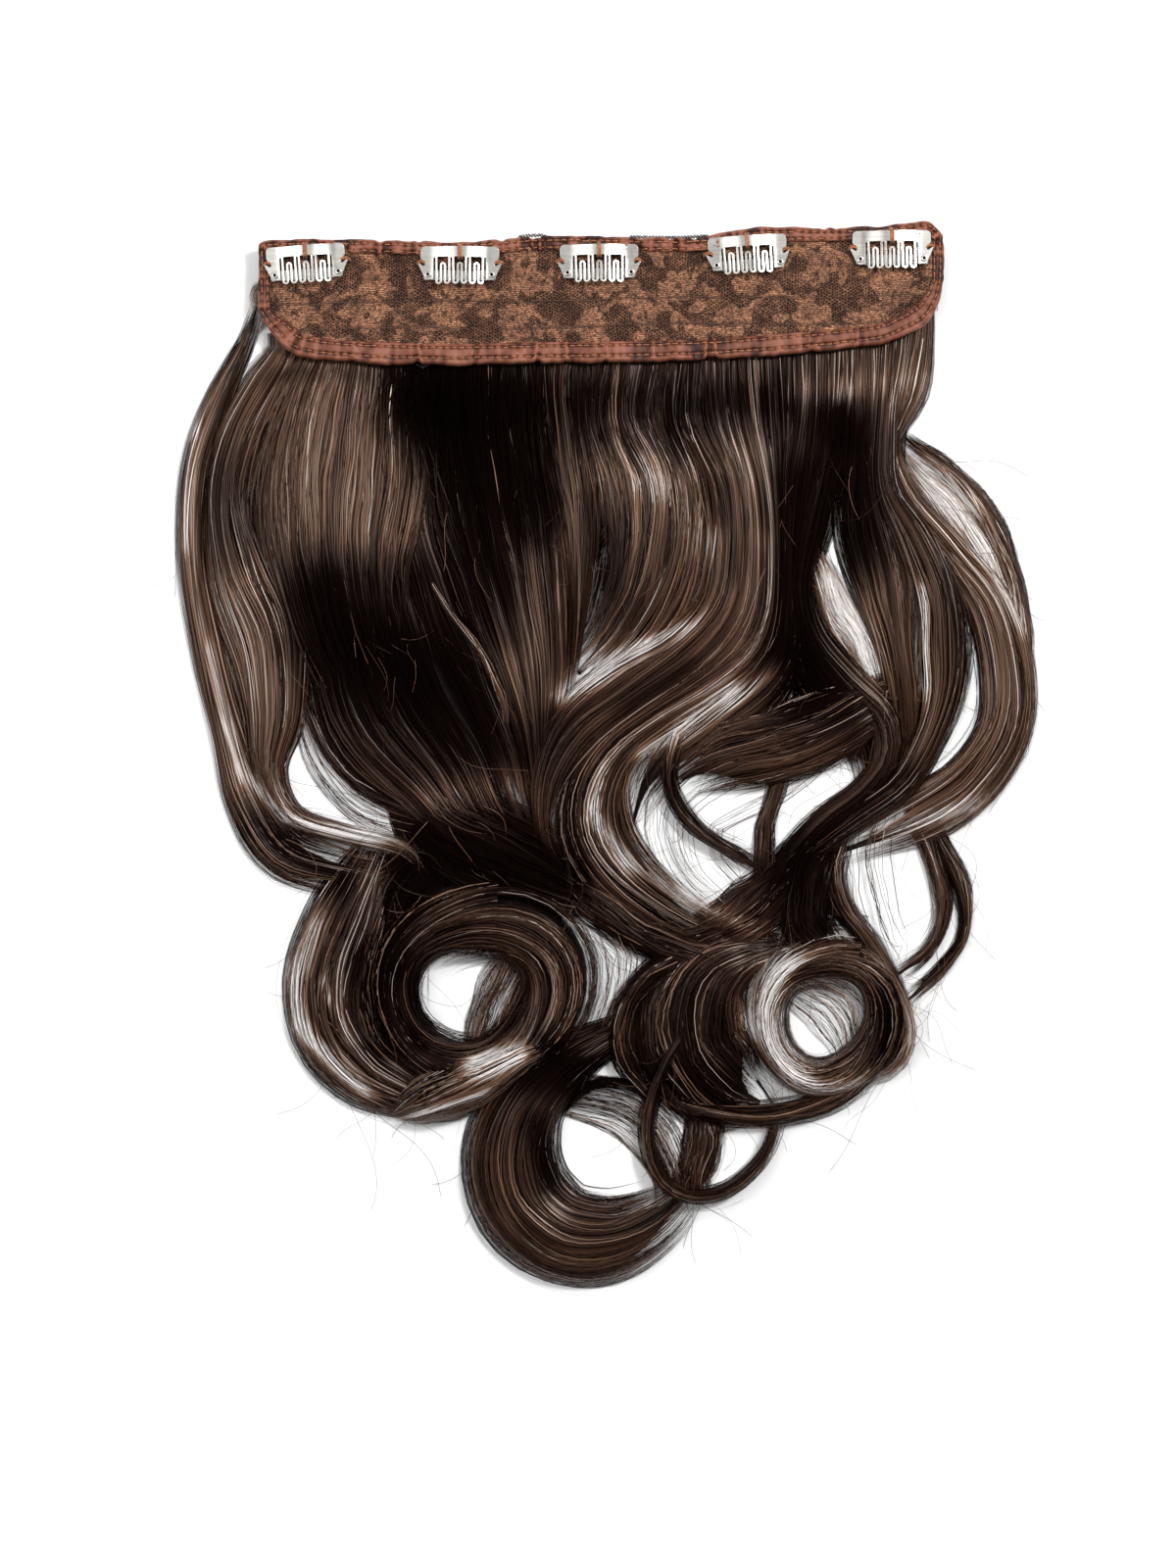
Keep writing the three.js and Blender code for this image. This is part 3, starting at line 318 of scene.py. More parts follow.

# Painted highlights and painted shade on the hair, as strokes: both ends across and down from the
# base's bottom middle, half the width, and the gain, above 0 for a highlight and below for shade.
# Lengths are in thousandths of the hair's length.
PAINTED_LIGHT_STROKES = [
    # left panel and left fall
    (-315, 30, -225, 145, 70, 0.1), (-360, 240, -335, 320, 42, 0.2),
    (-390, 110, -375, 190, 30, -0.14), (-365, -75, -415, 65, 9, 0.35),
    (-415, 65, -425, 185, 7, 0.3), (-400, 285, -380, 365, 5, 0.4),
    (-380, 365, -365, 415, 6, 0.5), (-365, 415, -325, 460, 6, 0.6),
    (-325, 460, -275, 475, 6, 0.65), (-275, 475, -235, 475, 8, 0.7),
    (-235, 475, -195, 490, 6, 0.4), (-237, 490, -237, 530, 14, 0.35),
    (-360, 470, -265, 522, 20, -0.34), (-230, 505, -180, 520, 12, -0.12),
    # painted shade in the dark heart of the left half, with a few painted highlights
    (-175, 25, -75, 125, 55, -0.3), (-285, 245, -95, 395, 50, -0.3),
    (-310, 222, -190, 212, 30, -0.16), (-290, 300, -170, 310, 50, -0.2),
    (-150, 60, -120, 220, 42, -0.24), (-175, 490, -55, 520, 30, -0.3),
    (-170, 440, -95, 424, 17, 0.3), (-95, 310, -82, 430, 22, 0.24), (-72, 200, -70, 300, 16, 0.14),
    # under the binding, where the hair is in shade
    (-190, 38, 180, 38, 34, -0.26), (150, 60, 155, 120, 12, 0.14), (205, 26, 325, 16, 16, 0.22),
    (-340, 10, -210, 8, 6, -0.14), (50, 30, 52, 70, 8, 0.12),
    # waves in the middle
    (-30, 112, 60, 122, 20, 0.16), (60, 112, 105, 180, 20, 0.18), (105, 180, 92, 250, 18, 0.16),
    (140, 90, 162, 180, 16, 0.16), (162, 180, 135, 290, 14, 0.14), (-45, 240, -30, 130, 9, 0.14),
    (5, 190, 15, 250, 26, -0.16), (70, 60, 75, 100, 10, -0.15), (126, 120, 134, 220, 7, -0.14),
    (-42, 335, -5, 312, 14, 0.6), (-5, 312, 35, 289, 12, 0.6),
    (35, 289, 85, 265, 8, 0.5), (85, 367, 130, 335, 14, 0.55), (130, 335, 175, 313, 10, 0.4),
    (40, 395, 75, 375, 10, 0.4), (20, 345, 85, 310, 12, -0.12), (-50, 360, -30, 345, 12, -0.1),
    (-12, 455, 0, 405, 8, 0.4), (-12, 455, 25, 505, 10, 0.5), (25, 505, 85, 540, 9, 0.55),
    (85, 540, 155, 575, 8, 0.4), (60, 430, 60, 520, 20, -0.2), (-30, 430, -25, 520, 14, -0.16),
    # right half
    (192, 120, 196, 330, 32, -0.3), (250, 70, 255, 185, 34, -0.32), (235, 45, 240, 75, 18, -0.2),
    (195, 300, 245, 350, 30, -0.24), (223, 205, 245, 265, 10, 0.5), (255, 255, 275, 315, 10, 0.4),
    (285, 225, 275, 330, 14, 0.14), (325, 225, 328, 335, 9, 0.4), (310, 415, 175, 525, 14, -0.22),
    (200, 490, 215, 570, 30, -0.2), (315, 95, 385, 185, 12, 0.45), (385, 185, 425, 265, 10, 0.4),
    (325, 105, 370, 145, 14, 0.4), (285, 475, 385, 445, 10, 0.4), (345, 200, 372, 300, 12, -0.12),
    # curls
    (-318, 610, -308, 675, 10, 0.6), (-308, 675, -240, 738, 9, 0.6),
    (-290, 560, -305, 610, 12, 0.4), (-285, 625, -255, 690, 5, 0.45),
    (-238, 600, -222, 690, 22, -0.34), (-195, 545, -215, 620, 16, -0.3),
    (-130, 710, -88, 698, 15, 0.75), (-190, 738, -155, 716, 12, -0.3),
    (-196, 762, -120, 740, 5, 0.4), (-60, 690, -30, 712, 14, -0.34),
    (-150, 555, -60, 570, 9, 0.16), (-50, 590, -48, 660, 8, 0.2),
    (-190, 620, -185, 690, 12, -0.2), (-70, 722, 10, 722, 22, -0.34),
    (-70, 770, -55, 830, 13, -0.28), (-112, 800, -95, 870, 14, 0.16),
    (-55, 905, 45, 915, 10, 0.12), (35, 605, 145, 685, 40, -0.12), (60, 720, 130, 740, 24, -0.2),
    (176, 606, 158, 668, 17, 0.8), (158, 668, 198, 724, 15, 0.75), (185, 610, 235, 585, 8, 0.3),
    (288, 640, 288, 700, 15, -0.34), (215, 735, 262, 728, 8, 0.4),
]


def linear(hex_colour):
    """An sRGB hex colour as linear red, green, blue and alpha."""
    channels = [int(hex_colour[i : i + 2], 16) / 255 for i in (1, 3, 5)]
    return (
        *(c / 12.92 if c <= 0.04045 else ((c + 0.055) / 1.055) ** 2.4 for c in channels),
        1.0,
    )


def colour_property(name, hex_colour, description):
    return FloatVectorProperty(
        name=name, description=description, subtype="COLOR", size=4, min=0, max=1,
        default=linear(hex_colour),
    )


def number_property(name, default, low, high, description, unit="NONE"):
    return FloatProperty(
        name=name, description=description, default=default, min=low, max=high, unit=unit,
    )


class HairFinish(bpy.types.PropertyGroup):
    """Colours and sizes of the hair."""

    # deep_shade is painted shade, for fibres down in the depth of a lock
    deep_shade: colour_property("Deep brown", "#050202", "Fibres in the depth of a lock")
    dark: colour_property("Dark brown", "#170c09", "Darker fibres")
    middle: colour_property("Middle brown", "#3c261c", "Most of the fibres")
    fair: colour_property("Fair brown", "#7d5c46", "Lighter fibres")
    # silver: silver fibres, and the painted highlight at the top of the tone ramp
    silver: colour_property("Silver", "#e8e4e2", "Silver fibres")
    fibre_width: number_property(
        "Fibre width", 0.29, 0.1, 1.0, "Width of one drawn tress of fibres, in millimetres")
    density: number_property(
        "Density", 14.0, 1.0, 40.0, "Tresses for each millimetre across a full lock")
    station: number_property(
        "Station", 7.0, 2.0, 20.0, "Length of one straight piece of a tress, in millimetres")
    stray_count: IntProperty(
        name="Stray fibres", description="Single fibres that leave the locks",
        default=640, min=0, max=2000,
    )


class BaseFinish(bpy.types.PropertyGroup):
    """Colours and sizes of the lace base and its combs."""

    satin: colour_property("Satin", "#74402c", "Binding tape")
    # satin_shade is painted shade, for the tape down in its folds
    satin_shade: colour_property("Satin shade", "#34180f", "Binding tape in its folds")
    lace_gold: colour_property("Lace motif", "#8a634c", "Close threads of the motifs")
    lace_net: colour_property("Lace net", "#684632", "Threads of the open net")
    net_hole: colour_property("Net hole", "#150d0b", "What shows through the net")
    thread: colour_property("Thread", "#a8663c", "Sewing thread")
    weft: colour_property("Weft", "#0d0b0b", "Sewn weft rows")
    steel: colour_property("Steel", "#c6c3bd", "Snap combs")
    net_pitch: number_property(
        "Net pitch", 1.15, 0.4, 4.0, "From hole to hole of the lace's net, in millimetres")
    rib_pitch: number_property(
        "Rib pitch", 0.75, 0.3, 4.0, "From rib to rib inside a motif, in millimetres")
    stitch_length: number_property(
        "Stitch length", 2.3, 0.5, 6.0, "Length of one stitch on the binding, in millimetres")


class StageFinish(bpy.types.PropertyGroup):
    """Floor, lights and camera."""

    floor: colour_property("Floor", "#fafafa", "Paper sweep that the piece lies on")
    key_power: number_property("Key light", 23.0, 0, 2000, "Power of the key light")
    box_power: number_property("Soft box", 10.0, 0, 2000, "Power of the soft box")
    top_power: number_property("Top box", 5.0, 0, 2000, "Power of the soft box over the base")
    fill_power: number_property("Fill", 7.0, 0, 2000, "Power of the even light from overhead")
    room_strength: number_property("Room", 0.12, 0, 10, "Brightness of the white room")
    camera_height: number_property(
        "Camera height", 1.417, 0.3, 5, "Height above the table", "LENGTH")


# Shared making


def add_node(tree, kind, settings=None, links=None):
    """Adds a node with its settings, and its inputs as values or as sockets to link."""
    node = tree.nodes.new(kind)
    for name, value in (settings or {}).items():
        setattr(node, name, value)
    for name, value in (links or {}).items():
        if isinstance(value, bpy.types.NodeSocket):
            tree.links.new(value, node.inputs[name])
        else:
            node.inputs[name].default_value = value
    return node


def start_material(name):
    material = bpy.data.materials.new(name)
    material.use_nodes = True
    material.node_tree.nodes.clear()
    return material, material.node_tree


def finish_material(tree, links):
    shader = add_node(tree, "ShaderNodeBsdfPrincipled", links=links)
    add_node(tree, "ShaderNodeOutputMaterial", links={"Surface": shader.outputs[0]})


def object_place(tree):
    return add_node(tree, "ShaderNodeTexCoord").outputs["Object"]


def attribute(tree, name):
    return add_node(tree, "ShaderNodeAttribute", {"attribute_name": name}).outputs["Fac"]


def noise(tree, place, scale, detail=2.0, roughness=0.5, distortion=0.0):
    """A noise pattern. The scale counts its features to the metre."""
    return add_node(tree, "ShaderNodeTexNoise", links={
        "Vector": place, "Scale": scale, "Detail": detail, "Roughness": roughness,
        "Distortion": distortion}).outputs["Fac"]


def bumped(tree, strength, depth, height):
    """The surface's normal with a fine relief, its depth in metres."""
    return add_node(tree, "ShaderNodeBump", links={
        "Strength": strength, "Distance": depth, "Height": height}).outputs["Normal"]


def computed(tree, operation, *values):
    return add_node(tree, "ShaderNodeMath", {"operation": operation},
                    dict(enumerate(values))).outputs[0]


def remapped(tree, value, low, high, new_low=0.0, new_high=1.0):
    return add_node(tree, "ShaderNodeMapRange", {"clamp": True}, {
        "Value": value, "From Min": low, "From Max": high, "To Min": new_low,
        "To Max": new_high}).outputs[0]


def mixed(tree, factor, first, second, blend="MIX"):
    return add_node(tree, "ShaderNodeMix", {"data_type": "RGBA", "blend_type": blend},
                    {"Factor": factor, "A": first, "B": second}).outputs["Result"]


def scaled(colour, by, plus=0.0):
    """The colour made brighter or darker, with full alpha."""
    return tuple(min(c * by + plus, 1) for c in tuple(colour)[:3]) + (1.0,)


def colour_ramp(tree, factor, stops):
    """A ramp over (position, colour) stops."""
    ramp = add_node(tree, "ShaderNodeValToRGB", links={"Fac": factor})
    elements = ramp.color_ramp.elements
    while len(elements) < len(stops):
        elements.new(0.5)
    for element, (position, colour) in zip(elements, stops):
        element.position = position
        element.color = colour
    return ramp.outputs["Color"]


def link_object(name, data):
    piece = bpy.data.objects.new(name, data)
    bpy.context.scene.collection.objects.link(piece)
    return piece


def mixed_mesh_object(name, vertices, faces, material, smooth=True):
    """A mesh from an array of points in metres and a list of faces of several lengths."""
    mesh = bpy.data.meshes.new(name)
    mesh.from_pydata(vertices.tolist(), [], faces)
    if smooth:
        mesh.shade_smooth()
    mesh.materials.append(material)
    return link_object(name, mesh)


def mesh_object(name, vertices, faces, material, smooth=True):
    """A mesh from an array of points in metres and an array of faces of one length."""
    mesh = bpy.data.meshes.new(name)
    vertices = np.asarray(vertices, np.float32)
    faces = np.asarray(faces, np.int32)
    mesh.vertices.add(len(vertices))
    mesh.vertices.foreach_set("co", vertices.ravel())
    mesh.loops.add(faces.size)
    mesh.loops.foreach_set("vertex_index", faces.ravel())
    mesh.polygons.add(len(faces))
    starts = np.arange(0, faces.size, faces.shape[1], dtype=np.int32)
    mesh.polygons.foreach_set("loop_start", starts)
    mesh.update(calc_edges=True)
    mesh.validate()
    if smooth:
        mesh.shade_smooth()
    mesh.materials.append(material)
    return link_object(name, mesh)


def write_attribute(piece, name, values):
    attribute = piece.data.attributes.new(name, "FLOAT", "POINT")
    attribute.data.foreach_set("value", np.asarray(values, np.float32))


def settle(piece, slot, *nodes):
    """The piece rides on the root and stands for the named nodes. slot: not used."""
    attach(piece, "root")
    if nodes:
        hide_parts(*nodes)
    return piece


def grid_faces(rows, columns, close_rows=False, close_columns=False):
    """Quads between the points of a grid, counted row by row."""
    r = np.arange(rows if close_rows else rows - 1)
    c = np.arange(columns if close_columns else columns - 1)
    r, c = np.meshgrid(r, c, indexing="ij")
    r2, c2 = (r + 1) % rows, (c + 1) % columns
    corners = (r * columns + c, r * columns + c2, r2 * columns + c2, r2 * columns + c)
    return np.stack(corners, -1).reshape(-1, 4)


def catmull_rom(rows, where, power):
    """Points on a spline through rows, at places counted from 0 at the first row to 1."""
    rows = np.asarray(rows, float)
    if power:
        first, last = 2 * rows[0] - rows[1], 2 * rows[-1] - rows[-2]
    else:
        first, last = rows[0], rows[-1]
    p = np.vstack([first, rows, last])
    place = np.clip(where, 0, 1) * (len(rows) - 1)
    i = np.minimum(place.astype(int), len(rows) - 2)
    w = (place - i)[:, None]
    p0, p1, p2, p3 = p[i], p[i + 1], p[i + 2], p[i + 3]
    t0, t1, t2 = (
        np.maximum(np.linalg.norm(b - a, axis=1, keepdims=True), 1e-9) ** power
        for a, b in ((p0, p1), (p1, p2), (p2, p3))
    )
    m1 = ((p1 - p0) / t0 - (p2 - p0) / (t0 + t1) + (p2 - p1) / t1) * t1
    m2 = ((p2 - p1) / t1 - (p3 - p1) / (t1 + t2) + (p3 - p2) / t2) * t1
    return (
        p1 + m1 * w + (3 * (p2 - p1) - 2 * m1 - m2) * w**2 + (2 * (p1 - p2) + m1 + m2) * w**3
    )


def evenly(path, count):
    """The path's points, spread evenly along its length over the first two columns."""
    steps = np.linalg.norm(np.diff(path[:, :2], axis=0), axis=1)
    run = np.concatenate([[0], np.cumsum(steps)])
    at = np.linspace(0, run[-1], count)
    return np.stack([np.interp(at, run, path[:, k]) for k in range(path.shape[1])], 1), run[-1]


def smoothstep(x, low, high):
    t = np.clip((x - low) / (high - low), 0, 1)
    return t * t * (3 - 2 * t)


def unit(vectors):
    return vectors / (np.linalg.norm(vectors, axis=-1, keepdims=True) + 1e-12)


def sampled(values, at):
    """Values between those of a list, at places counted from its first one."""
    return np.interp(at.ravel(), np.arange(len(values)), values).reshape(at.shape)


def base_middle():
    """The base's middle in millimetres, from the eyelets of the middle comb."""
    sides = [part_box(f"clip_3_eyelet_{side}") for side in ("left", "right")]
    centre = sum((low + high for low, high in sides), Vector()) / 4 / MM
    across, up, _ = CLIPS[2]
    return np.array([centre.x - across, centre.y - up * BASE_HEIGHT])


MIDDLE = base_middle()


def in_frame(x, y, z):
    """Points given in millimetres from the base's middle, in metres in the frame."""
    x, y, z = np.broadcast_arrays(x, y, z)
    return np.stack([(x + MIDDLE[0]) * MM, (y + MIDDLE[1]) * MM, z * MM], -1)


def edge_points(rows, count):
    scaled = [(along * BASE_LENGTH, up * BASE_HEIGHT) for along, up in rows]
    return catmull_rom(scaled, np.linspace(0, 1, count), 0)


def edge_height(rows, x):
    line = edge_points(rows, 400)
    return np.interp(x, line[:, 0], line[:, 1])


# Base: lace


def wandering(rng, count, wave, size):
    """A smooth random line of a given wave length in samples."""
    knots = rng.normal(0, 1, max(int(count / wave), 2) + 3)
    at = np.linspace(0, len(knots) - 3, count)
    return catmull_rom(np.column_stack([np.arange(len(knots)), knots]),
                       at / (len(knots) - 1), 0)[:, 1] * size


def flower(x, y, centre, size, petals, turn):
    """How far inside a flower with notched petals each point is, in millimetres."""
    dx, dy = x - centre[0], y - centre[1]
    r, a = np.hypot(dx, dy), np.arctan2(dy, dx) + turn
    edge = size * (0.6 + 0.4 * np.abs(np.cos(a * petals / 2)) ** 0.6)
    return np.minimum(edge - r, r - 0.13 * size)


def leaf(x, y, centre, length, width, turn):
    dx, dy = x - centre[0], y - centre[1]
    u = (dx * math.cos(turn) + dy * math.sin(turn)) / length
    v = (-dx * math.sin(turn) + dy * math.cos(turn)) / width
    return (1 - u**2 - np.abs(v)) * width


def lace_motifs(x, y):
    """How far inside the closely worked motifs each point of the lace is, in millimetres."""
    rng = np.random.default_rng(7)
    inside = np.full(x.shape, -9.0)
    columns, lines = 19, 4
    for column in range(columns):
        for line in range(lines):
            cx = -BASE_LENGTH / 2 + (column + 0.5 + 0.5 * (line % 2)) * BASE_LENGTH / columns
            cy = -19 + line * 13.5
            cx, cy = cx + rng.normal(0, 1.6), cy + rng.normal(0, 1.6)
            if (column + line) % 2:
                size, petals = rng.uniform(5.6, 7.6), rng.integers(5, 8)
                inside = np.maximum(inside, flower(x, y, (cx, cy), size, petals, rng.uniform(0, 6)))
            for _ in range(3):
                turn = rng.uniform(0, math.pi)
                reach = rng.uniform(4.5, 8)
                centre = (cx + reach * math.cos(turn * 2), cy + 0.8 * reach * math.sin(turn * 2))
                inside = np.maximum(
                    inside, leaf(x, y, centre, rng.uniform(3, 5.4), rng.uniform(1.2, 2.4), turn)
                )
    scroll = 1.0 - np.abs(y + 4 - 7 * np.sin(x / 8.5)) * 0.8
    return np.maximum(inside, scroll)


BAND_A_METRE = 0.31415  # scale at which a wave pattern repeats once in a metre


def lace_material(finish):
    """Rayon lace, warp knitted: ribbed close motifs on an open net, over dark hair.

    The ribs catch the light in level lines, through their relief and a painted highlight and shade,
    and the net shows as threads round dark holes."""
    material, tree = start_material("knitted_lace")
    place, motif, seam_shade = object_place(tree), attribute(tree, "motif"), attribute(tree, "seam_shade")
    wobble = add_node(tree, "ShaderNodeTexNoise", links={"Vector": place, "Scale": 160.0})
    shift = add_node(tree, "ShaderNodeVectorMath", {"operation": "SCALE"},
                     {0: wobble.outputs["Color"], "Scale": 0.0024}).outputs[0]
    moved = add_node(tree, "ShaderNodeVectorMath", {"operation": "ADD"},
                     {0: place, 1: shift}).outputs[0]
    bands = []
    for angle in (0, 60, 120):
        turned = add_node(tree, "ShaderNodeMapping", links={
            "Vector": moved, "Rotation": (0.0, 0.0, math.radians(angle))})
        lane = finish.net_pitch * math.cos(math.pi / 6) * MM
        bands.append(add_node(
            tree, "ShaderNodeTexWave", {"wave_type": "BANDS", "bands_direction": "X"},
            {"Vector": turned.outputs[0], "Scale": BAND_A_METRE / lane}).outputs["Fac"])
    two = computed(tree, "ADD", bands[0], bands[1])
    net = computed(tree, "DIVIDE", computed(tree, "ADD", two, bands[2]), 3.0)
    ribs = add_node(tree, "ShaderNodeTexWave",
                    {"wave_type": "BANDS", "bands_direction": "Y", "wave_profile": "SIN"},
                    {"Vector": moved, "Scale": BAND_A_METRE / (finish.rib_pitch * MM),
                     "Distortion": 0.8, "Detail": 2.0, "Detail Scale": 3.0}).outputs["Fac"]
    grain = noise(tree, place, 1300.0, 4.0, 0.7)
    patches = noise(tree, place, 120.0, 3.0, 0.6)
    fray = noise(tree, place, 420.0, 3.0, 0.6)
    gold, thread, hole = (tuple(c) for c in (finish.lace_gold, finish.lace_net, finish.net_hole))
    open_net = colour_ramp(tree, net, [
        (0.0, hole), (0.5, hole), (0.6, thread), (0.75, scaled(thread, 1.25))])
    close_net = colour_ramp(tree, net, [
        (0.1, hole), (0.4, scaled(thread, 0.5)), (0.55, scaled(gold, 0.55)),
        (0.75, scaled(gold, 0.8))])
    net_colour = mixed(tree, remapped(tree, patches, 0.5, 0.6), open_net, close_net)
    # painted highlight on each rib and painted shade between them
    rib_colour = colour_ramp(tree, ribs, [
        (0.05, scaled(gold, 0.5)), (0.5, scaled(gold, 1.0)), (0.9, scaled(gold, 1.45))])
    frayed = computed(tree, "MULTIPLY_ADD", fray, 2.2, motif)
    inside = remapped(tree, frayed, 1.2, 1.45)
    cord_line = computed(tree, "COMPARE", frayed, 1.15, 0.22)
    corded = mixed(tree, cord_line, mixed(tree, inside, net_colour, rib_colour),
                   scaled(gold, 0.42))
    wear = colour_ramp(tree, patches, [
        (0.32, (0.5, 0.48, 0.5, 1)), (0.52, (1, 1, 1, 1)), (0.7, (1.35, 1.3, 1.26, 1))])
    worn = mixed(tree, 0.8, corded, wear, "MULTIPLY")
    speckles = colour_ramp(tree, grain, [
        (0.38, (0.0, 0.0, 0.0, 1)), (0.5, (0.46, 0.43, 0.41, 1)), (0.62, (1.0, 0.95, 0.9, 1))])
    speckled = mixed(tree, 0.85, worn, speckles, "OVERLAY")
    # the lace is painted dark along the sewing lines: painted shade of the seam's groove
    finish_material(tree, {
        "Base Color": mixed(tree, seam_shade, speckled, scaled(hole, 1.5)), "Roughness": 0.62,
        "Normal": bumped(tree, 0.7, 0.0004, computed(tree, "ADD", ribs, grain)),
        "Specular IOR Level": 0.3,
    })
    return material


LACE_SEAMS = (0.4, -9.6)  # sewing lines over the lace, up from the base's middle


def seam_height(level, x):
    """Where a sewing line runs: it wavers and rises a little to the right."""
    return level + 0.5 * np.sin(x / 17) + 0.2 * np.sin(x / 4.1) + x * 0.014


LACE_GRID = (400, 76)  # points of the relief along and up the lace


def make_lace(finish):
    """The lace panel as a relief: motifs and cord outlines stand above the net."""
    columns, lines = LACE_GRID
    margin = CLOTH + CLEARANCE
    x = np.linspace(-BASE_LENGTH / 2 + margin, 0.495 * BASE_LENGTH - margin, columns)
    low = edge_height(BOTTOM_EDGE, x) + margin
    high = edge_height(TOP_EDGE, x) - margin
    share = np.linspace(0, 1, lines)[None, :]
    y = low[:, None] + (high - low)[:, None] * share
    x = np.repeat(x[:, None], lines, 1)
    motif = lace_motifs(x, y)
    relief = 0.22 * smoothstep(motif, -0.1, 0.4) + 0.12 * np.exp(-((motif - 0.1) / 0.3) ** 2)
    edge = smoothstep(np.minimum(share, 1 - share) * (high - low)[:, None], 0, 2)
    top = in_frame(x, y, LACE_FACE - 0.2 + relief * edge)
    faces = grid_faces(columns, lines)
    rim = np.concatenate([
        np.arange(columns) * lines,
        (columns - 1) * lines + np.arange(1, lines),
        (columns - 1 - np.arange(1, columns)) * lines + lines - 1,
        np.arange(lines - 2, 0, -1),
    ])
    offset = len(rim)
    foot = columns * lines + np.arange(offset)
    back = in_frame(x.ravel()[rim], y.ravel()[rim], LACE_BACK + 0.05)
    sides = np.stack([rim, foot, np.roll(foot, -1), np.roll(rim, -1)], 1)
    pairs = np.arange(1, columns - 1)
    far = foot[columns + lines - 2 + (columns - 1 - pairs)]
    floor = np.stack([foot[pairs[:-1]], far[:-1], far[1:], foot[pairs[1:]]], 1)
    left = np.concatenate([foot[[0, 1]], far[:1], foot[-(lines - 2):]])
    right = np.concatenate([foot[columns - 2:columns + lines - 1], far[-1:]])
    vertices = np.concatenate([top.reshape(-1, 3), back])
    faces = [*faces.tolist(), *sides.tolist(), *floor.tolist(), left.tolist(), right.tolist()]
    piece = mixed_mesh_object("lace_relief", vertices, faces, lace_material(finish))
    write_attribute(piece, "motif", np.concatenate([motif.ravel(), np.full(offset, -1.0)]))
    # painted shade along the sewing lines
    seams = sum(np.exp(-(((y - seam_height(level, x)) / 0.5) ** 2)) for level in LACE_SEAMS)
    write_attribute(piece, "seam_shade", np.concatenate([0.6 * seams.ravel(), np.zeros(offset)]))
    return settle(piece, "lace", "lace_panel")


# Base: binding


def binding_outline(count):
    """The base's outline, walked from the left end along the bottom and back along the top.

    Columns: x, y, width of the tape there, 1 on the top edge and 0 on the bottom one."""
    bottom = edge_points(BOTTOM_EDGE, 200)
    top = edge_points(TOP_EDGE, 200)[::-1]

    def blended(line, width):
        t = np.linspace(0, 1, len(line))
        near_end = smoothstep(np.minimum(t, 1 - t), 0, 0.13)
        return BINDING_SIDE + (width - BINDING_SIDE) * near_end

    rows = np.vstack([
        np.column_stack([bottom, blended(bottom, BINDING_BOTTOM), np.zeros(len(bottom))]),
        np.column_stack([top, blended(top, BINDING_TOP), np.ones(len(top))]),
    ])
    rows = np.vstack([rows, rows[:1]])
    line, length = evenly(rows, count + 1)
    line = line[:-1]
    kernel = np.array([1, 2, 3, 2, 1]) / 9
    for column in (0, 1, 2):
        padded = np.concatenate([line[-2:, column], line[:, column], line[:2, column]])
        line[:, column] = np.convolve(padded, kernel, "valid")
    return line, length


def outline_normals(line):
    """Unit vectors that point from the outline into the base."""
    tangent = unit(np.roll(line[:, :2], -1, axis=0) - np.roll(line[:, :2], 1, axis=0))
    return np.column_stack([-tangent[:, 1], tangent[:, 0]])


STITCH_ROWS = (0.82, 0.34)  # rows of stitches across the tape, as shares of its width
STITCH_PITCH = 2.8  # from stitch to stitch along a row, in millimetres
TAPE_STEPS = 1300  # points along the tape


def binding_relief(line, length, across):
    """Height of the tape's folds and puckers above its plain surface, in millimetres."""
    rng = np.random.default_rng(11)
    count = len(line)
    run = np.arange(count) / count * length
    relief = np.zeros((count, len(across)))
    pull = np.zeros(count)
    for along, slant, side, strength in TUCKS:
        on_side = line[:, 3] > 0.5 if side == "top" else line[:, 3] < 0.5
        lean = math.tan(math.radians(slant)) * across[None, :] * 7
        off = line[:, 0, None] - along * BASE_LENGTH + lean
        off = np.where(on_side[:, None], off, 99)
        fold = np.exp(-((off / 0.8) ** 2)) - 0.7 * np.exp(-(((off - 1.5) / 0.9) ** 2))
        fold -= 0.4 * np.exp(-(((off + 1.7) / 1.1) ** 2))
        relief += 0.75 * strength * fold
        pull += strength * np.exp(-((off[:, 0] / 1.3) ** 2))
    gathered = 1 + 0.9 * line[:, 3]
    for wave, size in ((30, 0.14), (13, 0.2), (7, 0.28), (4, 0.24), (2.6, 0.12)):
        a = wandering(rng, count, wave, size) * gathered
        b = wandering(rng, count, wave, size) * gathered
        relief += a[:, None] * (1 - across) + b[:, None] * across
    dent = 0.5 + 0.5 * np.cos(2 * math.pi * run / STITCH_PITCH)
    sewn = np.zeros_like(relief)
    for row in STITCH_ROWS:
        groove = np.exp(-(((across[None, :] - row) * line[:, 2, None]) / 0.6) ** 2)
        relief -= groove * (0.25 + 0.25 * dent[:, None])
        sewn += groove * (0.35 + 0.65 * dent[:, None])
    return relief, pull, sewn


